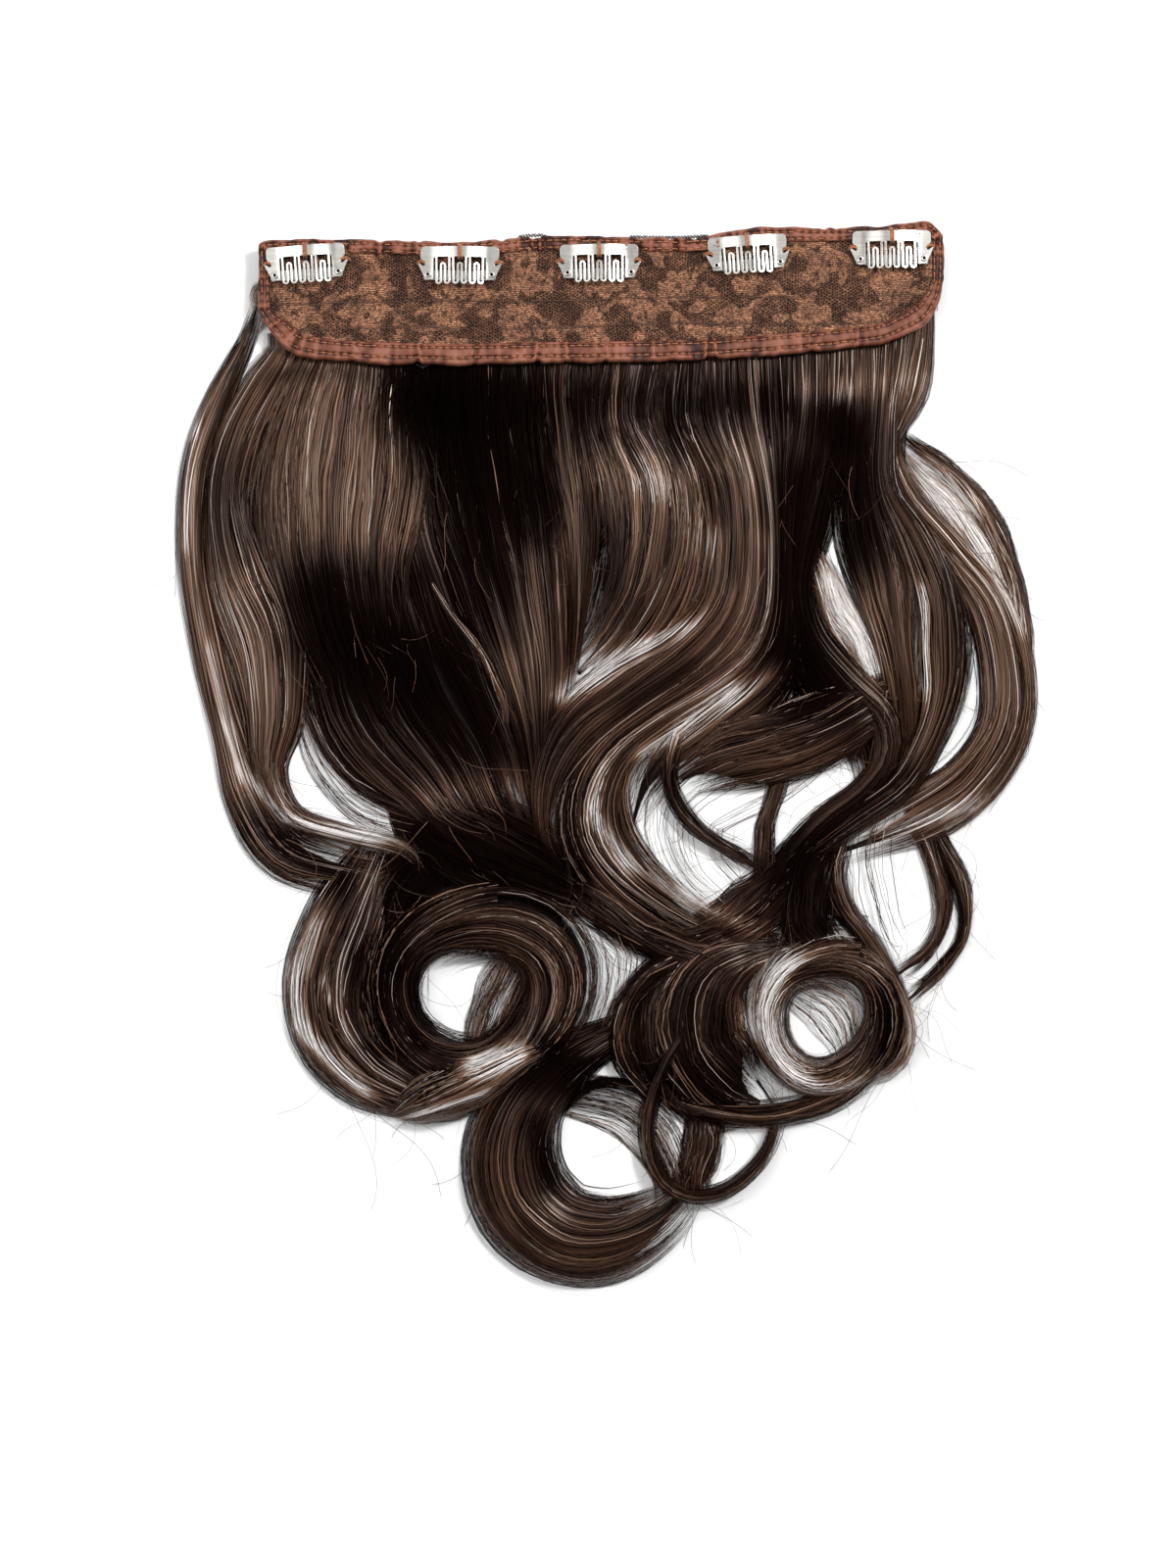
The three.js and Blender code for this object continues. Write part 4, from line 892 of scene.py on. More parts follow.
def satin_material(finish):
    """Polyester satin tape, woven: long floats give a soft sheen; painted shade darkens its folds.
    """
    material, tree = start_material("satin_tape")
    place = object_place(tree)
    weave = add_node(tree, "ShaderNodeTexWave",
                     {"wave_type": "BANDS", "bands_direction": "DIAGONAL"},
                     {"Vector": place, "Scale": 2400.0, "Distortion": 0.6, "Detail": 2.0})
    cloud = noise(tree, place, 260.0, 4.0, 0.6)
    cloud_and_fold_shade = computed(tree, "MULTIPLY_ADD", cloud, 0.5, attribute(tree, "fold"))
    # painted shade down in the folds and stitch grooves, painted highlight on the ridges, over a
    # faint cloud
    colour = colour_ramp(tree, cloud_and_fold_shade, [
        (0.2, tuple(finish.satin_shade)), (0.66, tuple(finish.satin)),
        (1.0, scaled(finish.satin, 1.45, 0.03)),
    ])
    finish_material(tree, {
        "Base Color": colour, "Roughness": 0.5, "Sheen Weight": 0.04, "Sheen Roughness": 0.4,
        "Sheen Tint": (0.8, 0.56, 0.46, 1.0), "Specular IOR Level": 0.3,
        "Normal": bumped(tree, 0.12, 0.0001, weave.outputs["Fac"]),
    })
    return material


def make_binding(finish):
    """The satin tape folded round the base's edge, gathered where it was eased round."""
    count = TAPE_STEPS
    line, length = binding_outline(count)
    inward = outline_normals(line)
    across = np.linspace(1, 0, 26)
    relief, pull, sewn = binding_relief(line, length, across)
    rng = np.random.default_rng(5)
    waver = wandering(rng, count, 14, 0.25) + wandering(rng, count, 5, 0.1) - 1.0 * pull
    rounded = np.sqrt(np.clip(1 - np.clip((0.16 - across) / 0.16, 0, 1) ** 2, 0, 1))
    lip = 1 - 0.35 * smoothstep(across, 0.93, 1.0)
    half = (BINDING_FACE - BINDING_BACK) / 2
    face = BINDING_BACK + half + half * rounded[None, :] * lip
    face = face + relief * (rounded[None, :] ** 2)
    under_share = np.array([0.06, 0.2, 0.5, 0.9, 1.0])
    under_level = BINDING_BACK + np.array([1.0, 0.3, 0.05, 0.05, 0.5])
    share = np.concatenate([across, under_share])
    level = np.hstack([face, np.repeat(under_level[None, :], count, 0)])
    inset = share[None, :] * line[:, 2, None] - waver[:, None] * (1 - share[None, :])
    x = line[:, 0, None] + inward[:, 0, None] * inset
    y = line[:, 1, None] + inward[:, 1, None] * inset
    faces = grid_faces(count, len(share), close_rows=True)
    piece = mesh_object("satin_binding", in_frame(x, y, level).reshape(-1, 3), faces,
                        satin_material(finish))
    # painted shade and highlight: lighter on fold ridges, darker in folds, stitch grooves and
    # underneath
    shade = np.hstack([0.46 + 0.72 * relief - 0.5 * sewn, np.full((count, len(under_share)), 0.3)])
    write_attribute(piece, "fold", shade.ravel())
    return settle(piece, "binding", "edge_binding")


# Sewing thread


THREAD_SIDES = 5  # flat sides round a thread


def thread_object(name, paths, radius, material):
    """Closed round threads along several paths of points in millimetres, as one piece."""
    vertices, quads, fans, start = [], [], [], 0
    around = np.arange(THREAD_SIDES)
    after = (around + 1) % THREAD_SIDES
    angle = around * 2 * math.pi / THREAD_SIDES
    for path in paths:
        path = np.asarray(path, float)
        tangent = unit(np.gradient(path, axis=0))
        helper = np.where(np.abs(tangent[:, 2:3]) < 0.9, [[0, 0, 1.0]], [[1.0, 0, 0]])
        side = unit(np.cross(tangent, helper))
        rise = np.cross(side, tangent)
        thick = np.full(len(path), radius)
        thick[[0, -1]] *= 0.45
        ring = (side[:, None] * np.cos(angle)[None, :, None]
                + rise[:, None] * np.sin(angle)[None, :, None]) * thick[:, None, None]
        vertices += [(path[:, None] + ring).reshape(-1, 3), path[[0, -1]]]
        quads.append(grid_faces(len(path), THREAD_SIDES, close_columns=True) + start)
        tip = np.full(THREAD_SIDES, start + len(path) * THREAD_SIDES)
        end = start + (len(path) - 1) * THREAD_SIDES
        fans.append(np.stack([tip, after + start, around + start], 1))
        fans.append(np.stack([tip + 1, around + end, after + end], 1))
        start += len(path) * THREAD_SIDES + 2
    vertices = np.concatenate(vertices)
    faces = np.concatenate(quads).tolist() + np.concatenate(fans).tolist()
    return mixed_mesh_object(name, in_frame(*vertices.T), faces, material)


def thread_material(name, colour):
    """Spun polyester thread: two plies, softly furred, with a dull shine along each ply."""
    material, tree = start_material(name)
    plies = noise(tree, object_place(tree), 1400.0)
    # painted shade between the plies and painted shine along them, as darker and lighter copies
    shade = colour_ramp(tree, plies, [
        (0.3, scaled(colour, 0.45)), (0.5, tuple(colour)), (0.7, scaled(colour, 1.5))])
    finish_material(tree, {"Base Color": shade, "Roughness": 0.6, "Sheen Weight": 0.3,
                           "Normal": bumped(tree, 0.4, 0.0001, plies)})
    return material


def stitch_path(start, step, lift, sway=0.0):
    """One stitch that rises out of the cloth, lies on it and goes down again."""
    share = np.array([0.0, 0.14, 0.5, 0.86, 1.0])
    height = np.array([-0.3, 0.55, 1.0, 0.55, -0.3])
    side = np.array([-step[1], step[0], 0.0])
    path = start + share[:, None] * step + side * (np.sin(share * math.pi) * sway)[:, None]
    path[:, 2] += lift * height
    return path


def make_binding_stitches(finish):
    """Two rows of lockstitch that hold the tape down all the way round."""
    count = TAPE_STEPS
    line, length = binding_outline(count)
    inward = outline_normals(line)
    across = np.array(STITCH_ROWS)
    relief, _, _ = binding_relief(line, length, across)
    rng = np.random.default_rng(3)
    paths = []
    first = STITCH_PITCH / 2 - finish.stitch_length / 2
    for k, row in enumerate(STITCH_ROWS):
        x = line[:, 0] + inward[:, 0] * row * line[:, 2]
        y = line[:, 1] + inward[:, 1] * row * line[:, 2]
        z = BINDING_FACE + relief[:, k]
        for begin in np.arange(first, length - 3, STITCH_PITCH):
            a = int(begin / length * count) % count
            b = int((begin + finish.stitch_length) / length * count) % count
            start = np.array([x[a], y[a], z[a]])
            step = np.array([x[b] - x[a], y[b] - y[a], z[b] - z[a]])
            if np.hypot(step[0], step[1]) > 2 * finish.stitch_length:
                continue
            paths.append(stitch_path(start, step, 0.34, rng.normal(0, 0.05)))
    piece = thread_object("binding_stitches", paths, 0.23,
                          thread_material("sewing_thread", finish.thread))
    return settle(piece, "binding")


def make_lace_stitches(finish):
    """The lines of sewing that hold the weft rows under the lace."""
    rng = np.random.default_rng(17)
    paths = []
    for level in LACE_SEAMS:
        x = -BASE_LENGTH / 2 + 8
        while x < BASE_LENGTH / 2 - 12:
            y = float(seam_height(level, x)) + rng.normal(0, 0.15)
            step = np.array([rng.uniform(2.0, 2.8), rng.normal(0, 0.2), 0.0])
            start = np.array([x, y, LACE_FACE + 0.02])
            if min(edge_height(TOP_EDGE, x) - y, y - edge_height(BOTTOM_EDGE, x)) > 8.5:
                paths.append(stitch_path(start, step, 0.3))
            x += step[0] + 0.55
    piece = thread_object("lace_stitches", paths, 0.24,
                          thread_material("dark_thread", scaled(finish.thread, 0.3)))
    return settle(piece, "lace")


# Snap combs

CLIP_HALF_WIDTH, CLIP_EAR, CLIP_TOP = 14.9, 15.8, 10.7
BAND_HEIGHT, BAND_CORNER, STEEL, BAR_HEIGHT, BOW = 4.1, 1.8, 0.7, 3.8, 1.5
TOOTH_PITCH, TOOTH_WIDTH, TOOTH_WIRE, TOOTH_REACH, ARCH_TOP = 3.2, 2.6, 0.9, 3.8, 4.7
RIVET_SPACING, RIVET_HOLE, RIVET_WALL, RIVET_FLANGE = 24.2, 0.55, 0.3, 1.3
BAND_BOTTOM = CLIP_TOP - BAND_HEIGHT
BAR_BOTTOM = BAR_HEIGHT * 0.45 - BAR_HEIGHT
TOOTH_OUTER = TOOTH_WIDTH / 2
TOOTH_INNER = TOOTH_OUTER - TOOTH_WIRE
TOOTH_CENTRE = TOOTH_OUTER - TOOTH_REACH
ARCH_INNER = TOOTH_PITCH / 2 - TOOTH_OUTER
ARCH_OUTER = ARCH_INNER + TOOTH_WIRE
ARCH_CENTRE = ARCH_TOP - ARCH_OUTER
OUTER_LEG = -2.5 * TOOTH_PITCH - TOOTH_OUTER
ARM_INSIDE = OUTER_LEG - 2 * ARCH_INNER
SLIT_TOP = BAND_BOTTOM - CLEARANCE
RIVET_X = RIVET_SPACING / 2


def arc(x, y, radius, start, end, steps):
    turn = np.radians(np.linspace(start, end, steps + 1))
    return [(x + radius * math.cos(a), y + radius * math.sin(a)) for a in turn]


def comb_outline():
    """The plate's outline: band, ears, arms and teeth, left half and its mirror image."""
    side, notch = -CLIP_HALF_WIDTH, CLIP_EAR - CLIP_HALF_WIDTH
    first = -2.5 * TOOTH_PITCH

    def tooth(x):
        return arc(x, TOOTH_CENTRE, TOOTH_OUTER, 180, 360, 10)

    def under_arch(x):
        return arc(x, ARCH_CENTRE, ARCH_INNER, 180, 0, 6)

    half = [
        *arc(side + BAND_CORNER, CLIP_TOP - BAND_CORNER, BAND_CORNER, 90, 180, 8),
        (side, BAND_BOTTOM - notch + 0.6), (side + 0.5, BAND_BOTTOM - notch - 0.3),
        (side + 1.5, 4.5), (side + 1.85, 4.0), (side + 1.6, 3.4), (side + 1.0, 3.3),
        (side + 0.1, 3.9), (-CLIP_EAR + 0.3, 4.35), (-CLIP_EAR, 4.2), (-CLIP_EAR + 0.05, 3.7),
        (-RIVET_X - 2.5, 1.2), (-RIVET_X - 1.8, -0.3), (-RIVET_X - 1.3, -1.4),
        (-RIVET_X - 0.7, -1.95), (-RIVET_X - 0.1, BAR_BOTTOM),
        (ARM_INSIDE, BAR_BOTTOM), (ARM_INSIDE, SLIT_TOP - 0.3), (ARM_INSIDE + 0.25, SLIT_TOP),
        (OUTER_LEG - 0.05, SLIT_TOP), (OUTER_LEG, SLIT_TOP - 0.2),
        *tooth(first), *under_arch(first + TOOTH_PITCH / 2), *tooth(first + TOOTH_PITCH),
        (-TOOTH_PITCH - ARCH_INNER, SLIT_TOP), (-TOOTH_PITCH + ARCH_INNER, SLIT_TOP),
        *tooth(first + 2 * TOOTH_PITCH), *arc(0, ARCH_CENTRE, ARCH_INNER, 180, 110, 2),
    ]
    return half + [(-x, y) for x, y in reversed(half)]


def comb_window(x):
    tooth = TOOTH_PITCH / 2
    reach = tooth + TOOTH_INNER
    return [
        (x - reach, BAND_BOTTOM), *arc(x - tooth, TOOTH_CENTRE, TOOTH_INNER, 180, 360, 6),
        *arc(x, ARCH_CENTRE, ARCH_OUTER, 180, 0, 10),
        *arc(x + tooth, TOOTH_CENTRE, TOOTH_INNER, 180, 360, 6), (x + reach, BAND_BOTTOM),
    ]


def bow_height(x):
    """How far the plate stands up at a distance from its middle."""
    return BOW * (1 - smoothstep(np.abs(x), 1.0, 11.5))


def steel_material(finish):
    """Nickel-plated spring steel, stamped, tumbled and polished: a soft mirror.

    Faint streaks of the rolling show in its colour, and handling dulls it in places."""
    material, tree = start_material("plated_spring_steel")
    place = object_place(tree)
    stretched = add_node(tree, "ShaderNodeMapping", links={
        "Vector": place, "Scale": (60.0, 1500.0, 60.0)})
    rolled = noise(tree, stretched.outputs[0], 1.0, 3.0)
    rough = remapped(tree, noise(tree, place, 220.0, 3.0), 0.3, 0.7, 0.28, 0.32)
    colour = colour_ramp(tree, rolled, [
        (0.3, scaled(finish.steel, 0.82)), (0.6, tuple(finish.steel))])
    finish_material(tree, {"Base Color": colour, "Metallic": 1.0, "Roughness": rough})
    return material


def comb_plate_mesh():
    """A stamped and bowed plate with rounded edges, lying round its own rivet line."""
    curve = bpy.data.curves.new("comb_stamping", "CURVE")
    curve.dimensions = "2D"
    curve.fill_mode = "BOTH"
    rounding = 0.12
    curve.extrude = STEEL / 2 - rounding
    curve.bevel_depth = rounding
    curve.bevel_resolution = 2
    curve.offset = -rounding
    holes = [comb_window(x) for x in (-2 * TOOTH_PITCH, 0, 2 * TOOTH_PITCH)]
    holes += [arc(x, 0, RIVET_HOLE + RIVET_WALL + CLEARANCE, 0, 337.5, 15)
              for x in (-RIVET_X, RIVET_X)]
    for loop in [comb_outline(), *holes]:
        spline = curve.splines.new("POLY")
        spline.points.add(len(loop) - 1)
        spline.points.foreach_set("co", [c for x, y in loop for c in (x, y, 0, 1)])
        spline.use_cyclic_u = True
    stamping = link_object("comb_stamping", curve)
    bpy.context.view_layer.update()
    made = bpy.data.meshes.new_from_object(
        stamping.evaluated_get(bpy.context.evaluated_depsgraph_get()))
    bpy.data.objects.remove(stamping)
    shape = bmesh.new()
    shape.from_mesh(made)
    bmesh.ops.remove_doubles(shape, verts=shape.verts, dist=1e-4)
    shape.normal_update()
    for edge in shape.edges:
        level = [abs(face.normal.z) > 0.97 for face in edge.link_faces]
        edge.smooth = len(set(level)) == 1
    for x in np.arange(-12, 12.01, 0.8):
        everything = shape.verts[:] + shape.edges[:] + shape.faces[:]
        bmesh.ops.bisect_plane(shape, geom=everything, plane_co=(x, 0, 0), plane_no=(1, 0, 0),
                               dist=1e-4)
    for vertex in shape.verts:
        x, y, z = vertex.co
        tip = 0.32 * max(1.5 - y, 0) ** 2 / 28  # the teeth curve a little away from the cloth
        vertex.co = (x, y, z + STEEL / 2 + float(bow_height(x)) + tip)
    bmesh.ops.triangulate(shape, faces=[f for f in shape.faces if len(f.verts) > 4])
    bmesh.ops.recalc_face_normals(shape, faces=shape.faces)
    for face in shape.faces:
        face.smooth = True
    shape.to_mesh(made)
    shape.free()
    made.name = "comb_plate"
    return made


def eyelet_rings(centre_x):
    """Radius and height of a hollow rivet's profile, from its foot round its rolled rim."""
    base = -CLEARANCE - 0.6
    rim = STEEL + CLEARANCE * 0.4
    shank = RIVET_HOLE + RIVET_WALL
    roll = [(RIVET_FLANGE - 0.2 + 0.2 * math.cos(a), rim + 0.2 + 0.2 * math.sin(a))
            for a in np.linspace(-math.pi / 2, math.pi / 2, 6)]
    crest = [(RIVET_HOLE + 0.12 - 0.12 * math.sin(a), rim + 0.28 + 0.12 * math.cos(a))
             for a in np.linspace(0, math.pi / 2, 4)]
    profile = [(RIVET_HOLE, base), (shank, base), (shank, rim), *roll, *crest]
    sides = 28
    angle = np.linspace(0, 2 * math.pi, sides, endpoint=False)
    r = np.array([p[0] for p in profile])[:, None]
    z = np.array([p[1] for p in profile])[:, None]
    points = np.stack([centre_x + r * np.cos(angle), r * np.sin(angle),
                       np.broadcast_to(z, (len(profile), sides))], -1)
    return points.reshape(-1, 3), grid_faces(len(profile), sides, True, True)


def clip_matrix(across, up, tilt):
    centre = ((across + MIDDLE[0]) * MM, (up * BASE_HEIGHT + MIDDLE[1]) * MM, PLATE_BACK * MM)
    return (Matrix.Translation(centre) @ Matrix.Rotation(math.radians(tilt), 4, "Z")
            @ Matrix.Scale(MM, 4))


def make_combs(finish):
    """The five stamped plates and their hollow rivets, over the bars of the frame."""
    steel = steel_material(finish)
    plate = comb_plate_mesh()
    for i, (across, up, tilt) in enumerate(CLIPS, 1):
        mesh = plate.copy()
        mesh.transform(clip_matrix(across, up, tilt))
        mesh.materials.append(steel)
        settle(link_object(f"comb_{i}_plate", mesh), "spring_steel", f"clip_{i}_plate")
        for side, x in (("left", -RIVET_X), ("right", RIVET_X)):
            points, faces = eyelet_rings(x)
            rivet = mesh_object(f"comb_{i}_eyelet_{side}", points, faces, steel)
            rivet.data.transform(clip_matrix(across, up, tilt))
            settle(rivet, "spring_steel", f"clip_{i}_eyelet_{side}")
        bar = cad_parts[f"clip_{i}_bar"]
        bar.data.materials.clear()
        bar.data.materials.append(steel)


def make_thread_loops(finish):
    """The hand-sewn loops that hold each comb to the tape: round its band and both ears."""
    rng = np.random.default_rng(23)
    paths = []
    for across, up, tilt in CLIPS:
        turn = math.radians(tilt)
        centre = np.array([across, up * BASE_HEIGHT, PLATE_BACK])

        def placed(points):
            points = np.asarray(points, float)
            x = points[:, 0] * math.cos(turn) - points[:, 1] * math.sin(turn)
            y = points[:, 0] * math.sin(turn) + points[:, 1] * math.cos(turn)
            return np.column_stack([x, y, points[:, 2]]) + centre

        over = BOW + STEEL
        for k in range(5):
            x = -0.7 + 0.34 * k + rng.normal(0, 0.05)
            lean = rng.normal(0, 0.2)
            paths.append(placed([
                (x + lean, CLIP_TOP + 1.3, -0.6), (x + lean, CLIP_TOP + 0.75, 0.5),
                (x, CLIP_TOP + 0.3, over - 0.1), (x, CLIP_TOP - 0.4, over + 0.2),
                (x, BAND_BOTTOM + 2, over + 0.25), (x, BAND_BOTTOM + 0.3, over + 0.2),
                (x - lean, BAND_BOTTOM - 0.3, over - 0.1), (x - lean, BAND_BOTTOM - 0.6, 0.6),
                (x - lean, BAND_BOTTOM - 0.9, -1.0),
            ]))
        for side in (-1, 1):
            for k in range(3):
                y = 4.5 + 0.35 * k + rng.normal(0, 0.1)
                reach = CLIP_EAR + rng.uniform(0.4, 1.2)
                paths.append(placed([
                    (side * reach, y - 0.9, -1.0), (side * (reach - 0.3), y - 0.5, 0.3),
                    (side * (CLIP_HALF_WIDTH + 0.4), y, STEEL + 0.25),
                    (side * (CLIP_HALF_WIDTH - 0.7), y + 0.1, STEEL + 0.3),
                    (side * (CLIP_HALF_WIDTH - 1.5), y - 0.5, STEEL + 0.2),
                    (side * (CLIP_HALF_WIDTH - 1.8), y - 0.9, -0.4),
                ]))
    fine = [catmull_rom(path, np.linspace(0, 1, 22), 0.5) for path in paths]
    piece = thread_object("comb_threads", fine, 0.17,
                          thread_material("comb_thread", finish.thread))
    return settle(piece, "binding")


SELVEDGE_LEVEL = 6.2  # height of the rows' loops above the table, in millimetres


def make_wefts(finish):
    """The sewn rows keep their solids; their looped selvedge peeps out past the tape."""
    black = thread_material("weft_row", finish.weft)
    for i in range(1, 5):
        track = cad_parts[f"weft_track_{i}"]
        track.data.materials.clear()
        track.data.materials.append(black)
    rng = np.random.default_rng(29)
    paths = []
    for left, right, rise in ((-34, -20, 1.1), (8, 42, 0.9), (-71, -66, -0.8)):
        x = np.arange(left, right, 0.35)
        edge = edge_height(TOP_EDGE if rise > 0 else BOTTOM_EDGE, x)
        for lane in range(2):
            wave = 0.45 * np.sin(x * 5.2 + lane * 2.4) + rng.normal(0, 0.08, len(x))
            fade = smoothstep(np.minimum(x - left, right - x), 0, 3)
            y = edge + (rise * (0.4 + 0.35 * lane) + wave) * fade - (1 - fade) * 0.6 * rise
            z = SELVEDGE_LEVEL + 0.5 * np.cos(x * 5.2 + lane) + 0.4 * lane
            paths.append(np.column_stack([x, y, z]))
    return settle(thread_object("weft_selvedge", paths, 0.24, black), "weft")


# Hair


def lock_line(lock):
    """A lock's centre line in millimetres from the base's middle, as x, y and width."""
    if "ring" in lock:
        across, down, radius_x, radius_y, width = lock["ring"]
        turn = np.radians(lock["start"] + np.linspace(0, lock["turn"], 90))
        uneven = 1 + 0.05 * np.sin(2 * turn + 0.7) + 0.03 * np.sin(3 * turn)
        rows = np.column_stack([
            (across + radius_x * uneven * np.cos(turn)) * UNIT,
            -BASE_HEIGHT / 2 - (down - radius_y * uneven * np.sin(turn)) * UNIT,
            width * UNIT * (1 + 0.2 * np.cos(turn - 0.8)),
        ])
        return evenly(rows, 160)
    rows = [(a * UNIT, -BASE_HEIGHT / 2 - d * UNIT, w * UNIT) for a, d, w in lock["rows"]]
    if "root" in lock:
        left, right = lock["root"]
        x, width = (left + right) / 2 * BASE_LENGTH, (right - left) * BASE_LENGTH
        edge = float(edge_height(BOTTOM_EDGE, x))
        rows = [(x, edge + ROOT_DEPTH, width), (x, edge, width), *rows]
    return evenly(catmull_rom(rows, np.linspace(0, 1, 240), 0.5), 160)


def lock_levels(lock, share):
    """Lowest and highest level of a lock along its length, in millimetres."""
    ending = smoothstep(share, 0.75, 1)
    grown, least = smoothstep(share, 0.02, 0.16), ROOT_HEIGHT + 1.4
    if "root" not in lock:
        grown = smoothstep(share, 0.0, lock.get("rise", 0.3))
        least = 0.1 * lock["over"] * HAIR_LOFT
    if "ring" in lock:
        ending, grown = np.zeros_like(share), np.ones_like(share)
    over = least + (lock["over"] * HAIR_LOFT - least) * grown
    under = lock["under"] * HAIR_LOFT * grown * (1 - ending)
    return under, over * (1 - 0.55 * ending)


def sides_of(line):
    """Unit vectors across a line, to its left, and along it."""
    tangent = unit(np.gradient(line[:, :2], axis=0))
    return np.column_stack([-tangent[:, 1], tangent[:, 0]]), tangent


def painted_light_at(x, y):
    """Sum of the painted highlight and painted shade strokes at points in millimetres from the
    base's middle.
    """
    px, py = x / UNIT, -(y + BASE_HEIGHT / 2) / UNIT
    total = np.zeros_like(px)
    for x1, y1, x2, y2, radius, gain in PAINTED_LIGHT_STROKES:
        dx, dy = x2 - x1, y2 - y1
        t = np.clip(((px - x1) * dx + (py - y1) * dy) / (dx * dx + dy * dy + 1e-9), 0, 1)
        away = (px - x1 - t * dx) ** 2 + (py - y1 - t * dy) ** 2
        total += gain * np.exp(-away / radius**2)
    return total


DARK_GAIN = 3.6  # how fast a tone sinks under a stroke of painted shade
BRIGHT_SHARE = 0.62  # share of the tresses that shine in a painted highlight
CLUMP_WIDTH = 3.2  # millimetres across one of the strands that a lock falls into


def shaded(tone, painted_light, answer):
    """Tones under the strokes: a painted highlight adds to them, painted shade takes a share away.
    """
    return tone * np.exp(DARK_GAIN * np.minimum(painted_light, 0)) + np.maximum(painted_light, 0) * answer


def answers(rng, count):
    """How strongly each tress answers a painted highlight: most do, the rest stay nearly as they
    are.
    """
    bright = rng.random(count) < BRIGHT_SHARE
    return np.where(bright, rng.uniform(0.8, 1.5, count), rng.uniform(0.0, 0.4, count))[:, None]


def dome(share):
    """Height of a lock's cross-section, 1 in its middle and 0 at its sides."""
    return np.sqrt(np.clip(1 - np.abs(2 * share) ** 2.6, 0, 1))


def taper(stations):
    """Share of its full width that a tress has at each station: it ends in a fine tip."""
    return np.clip((1 - np.linspace(0, 1, stations)) * 6, 0.12, 1)[None, :]


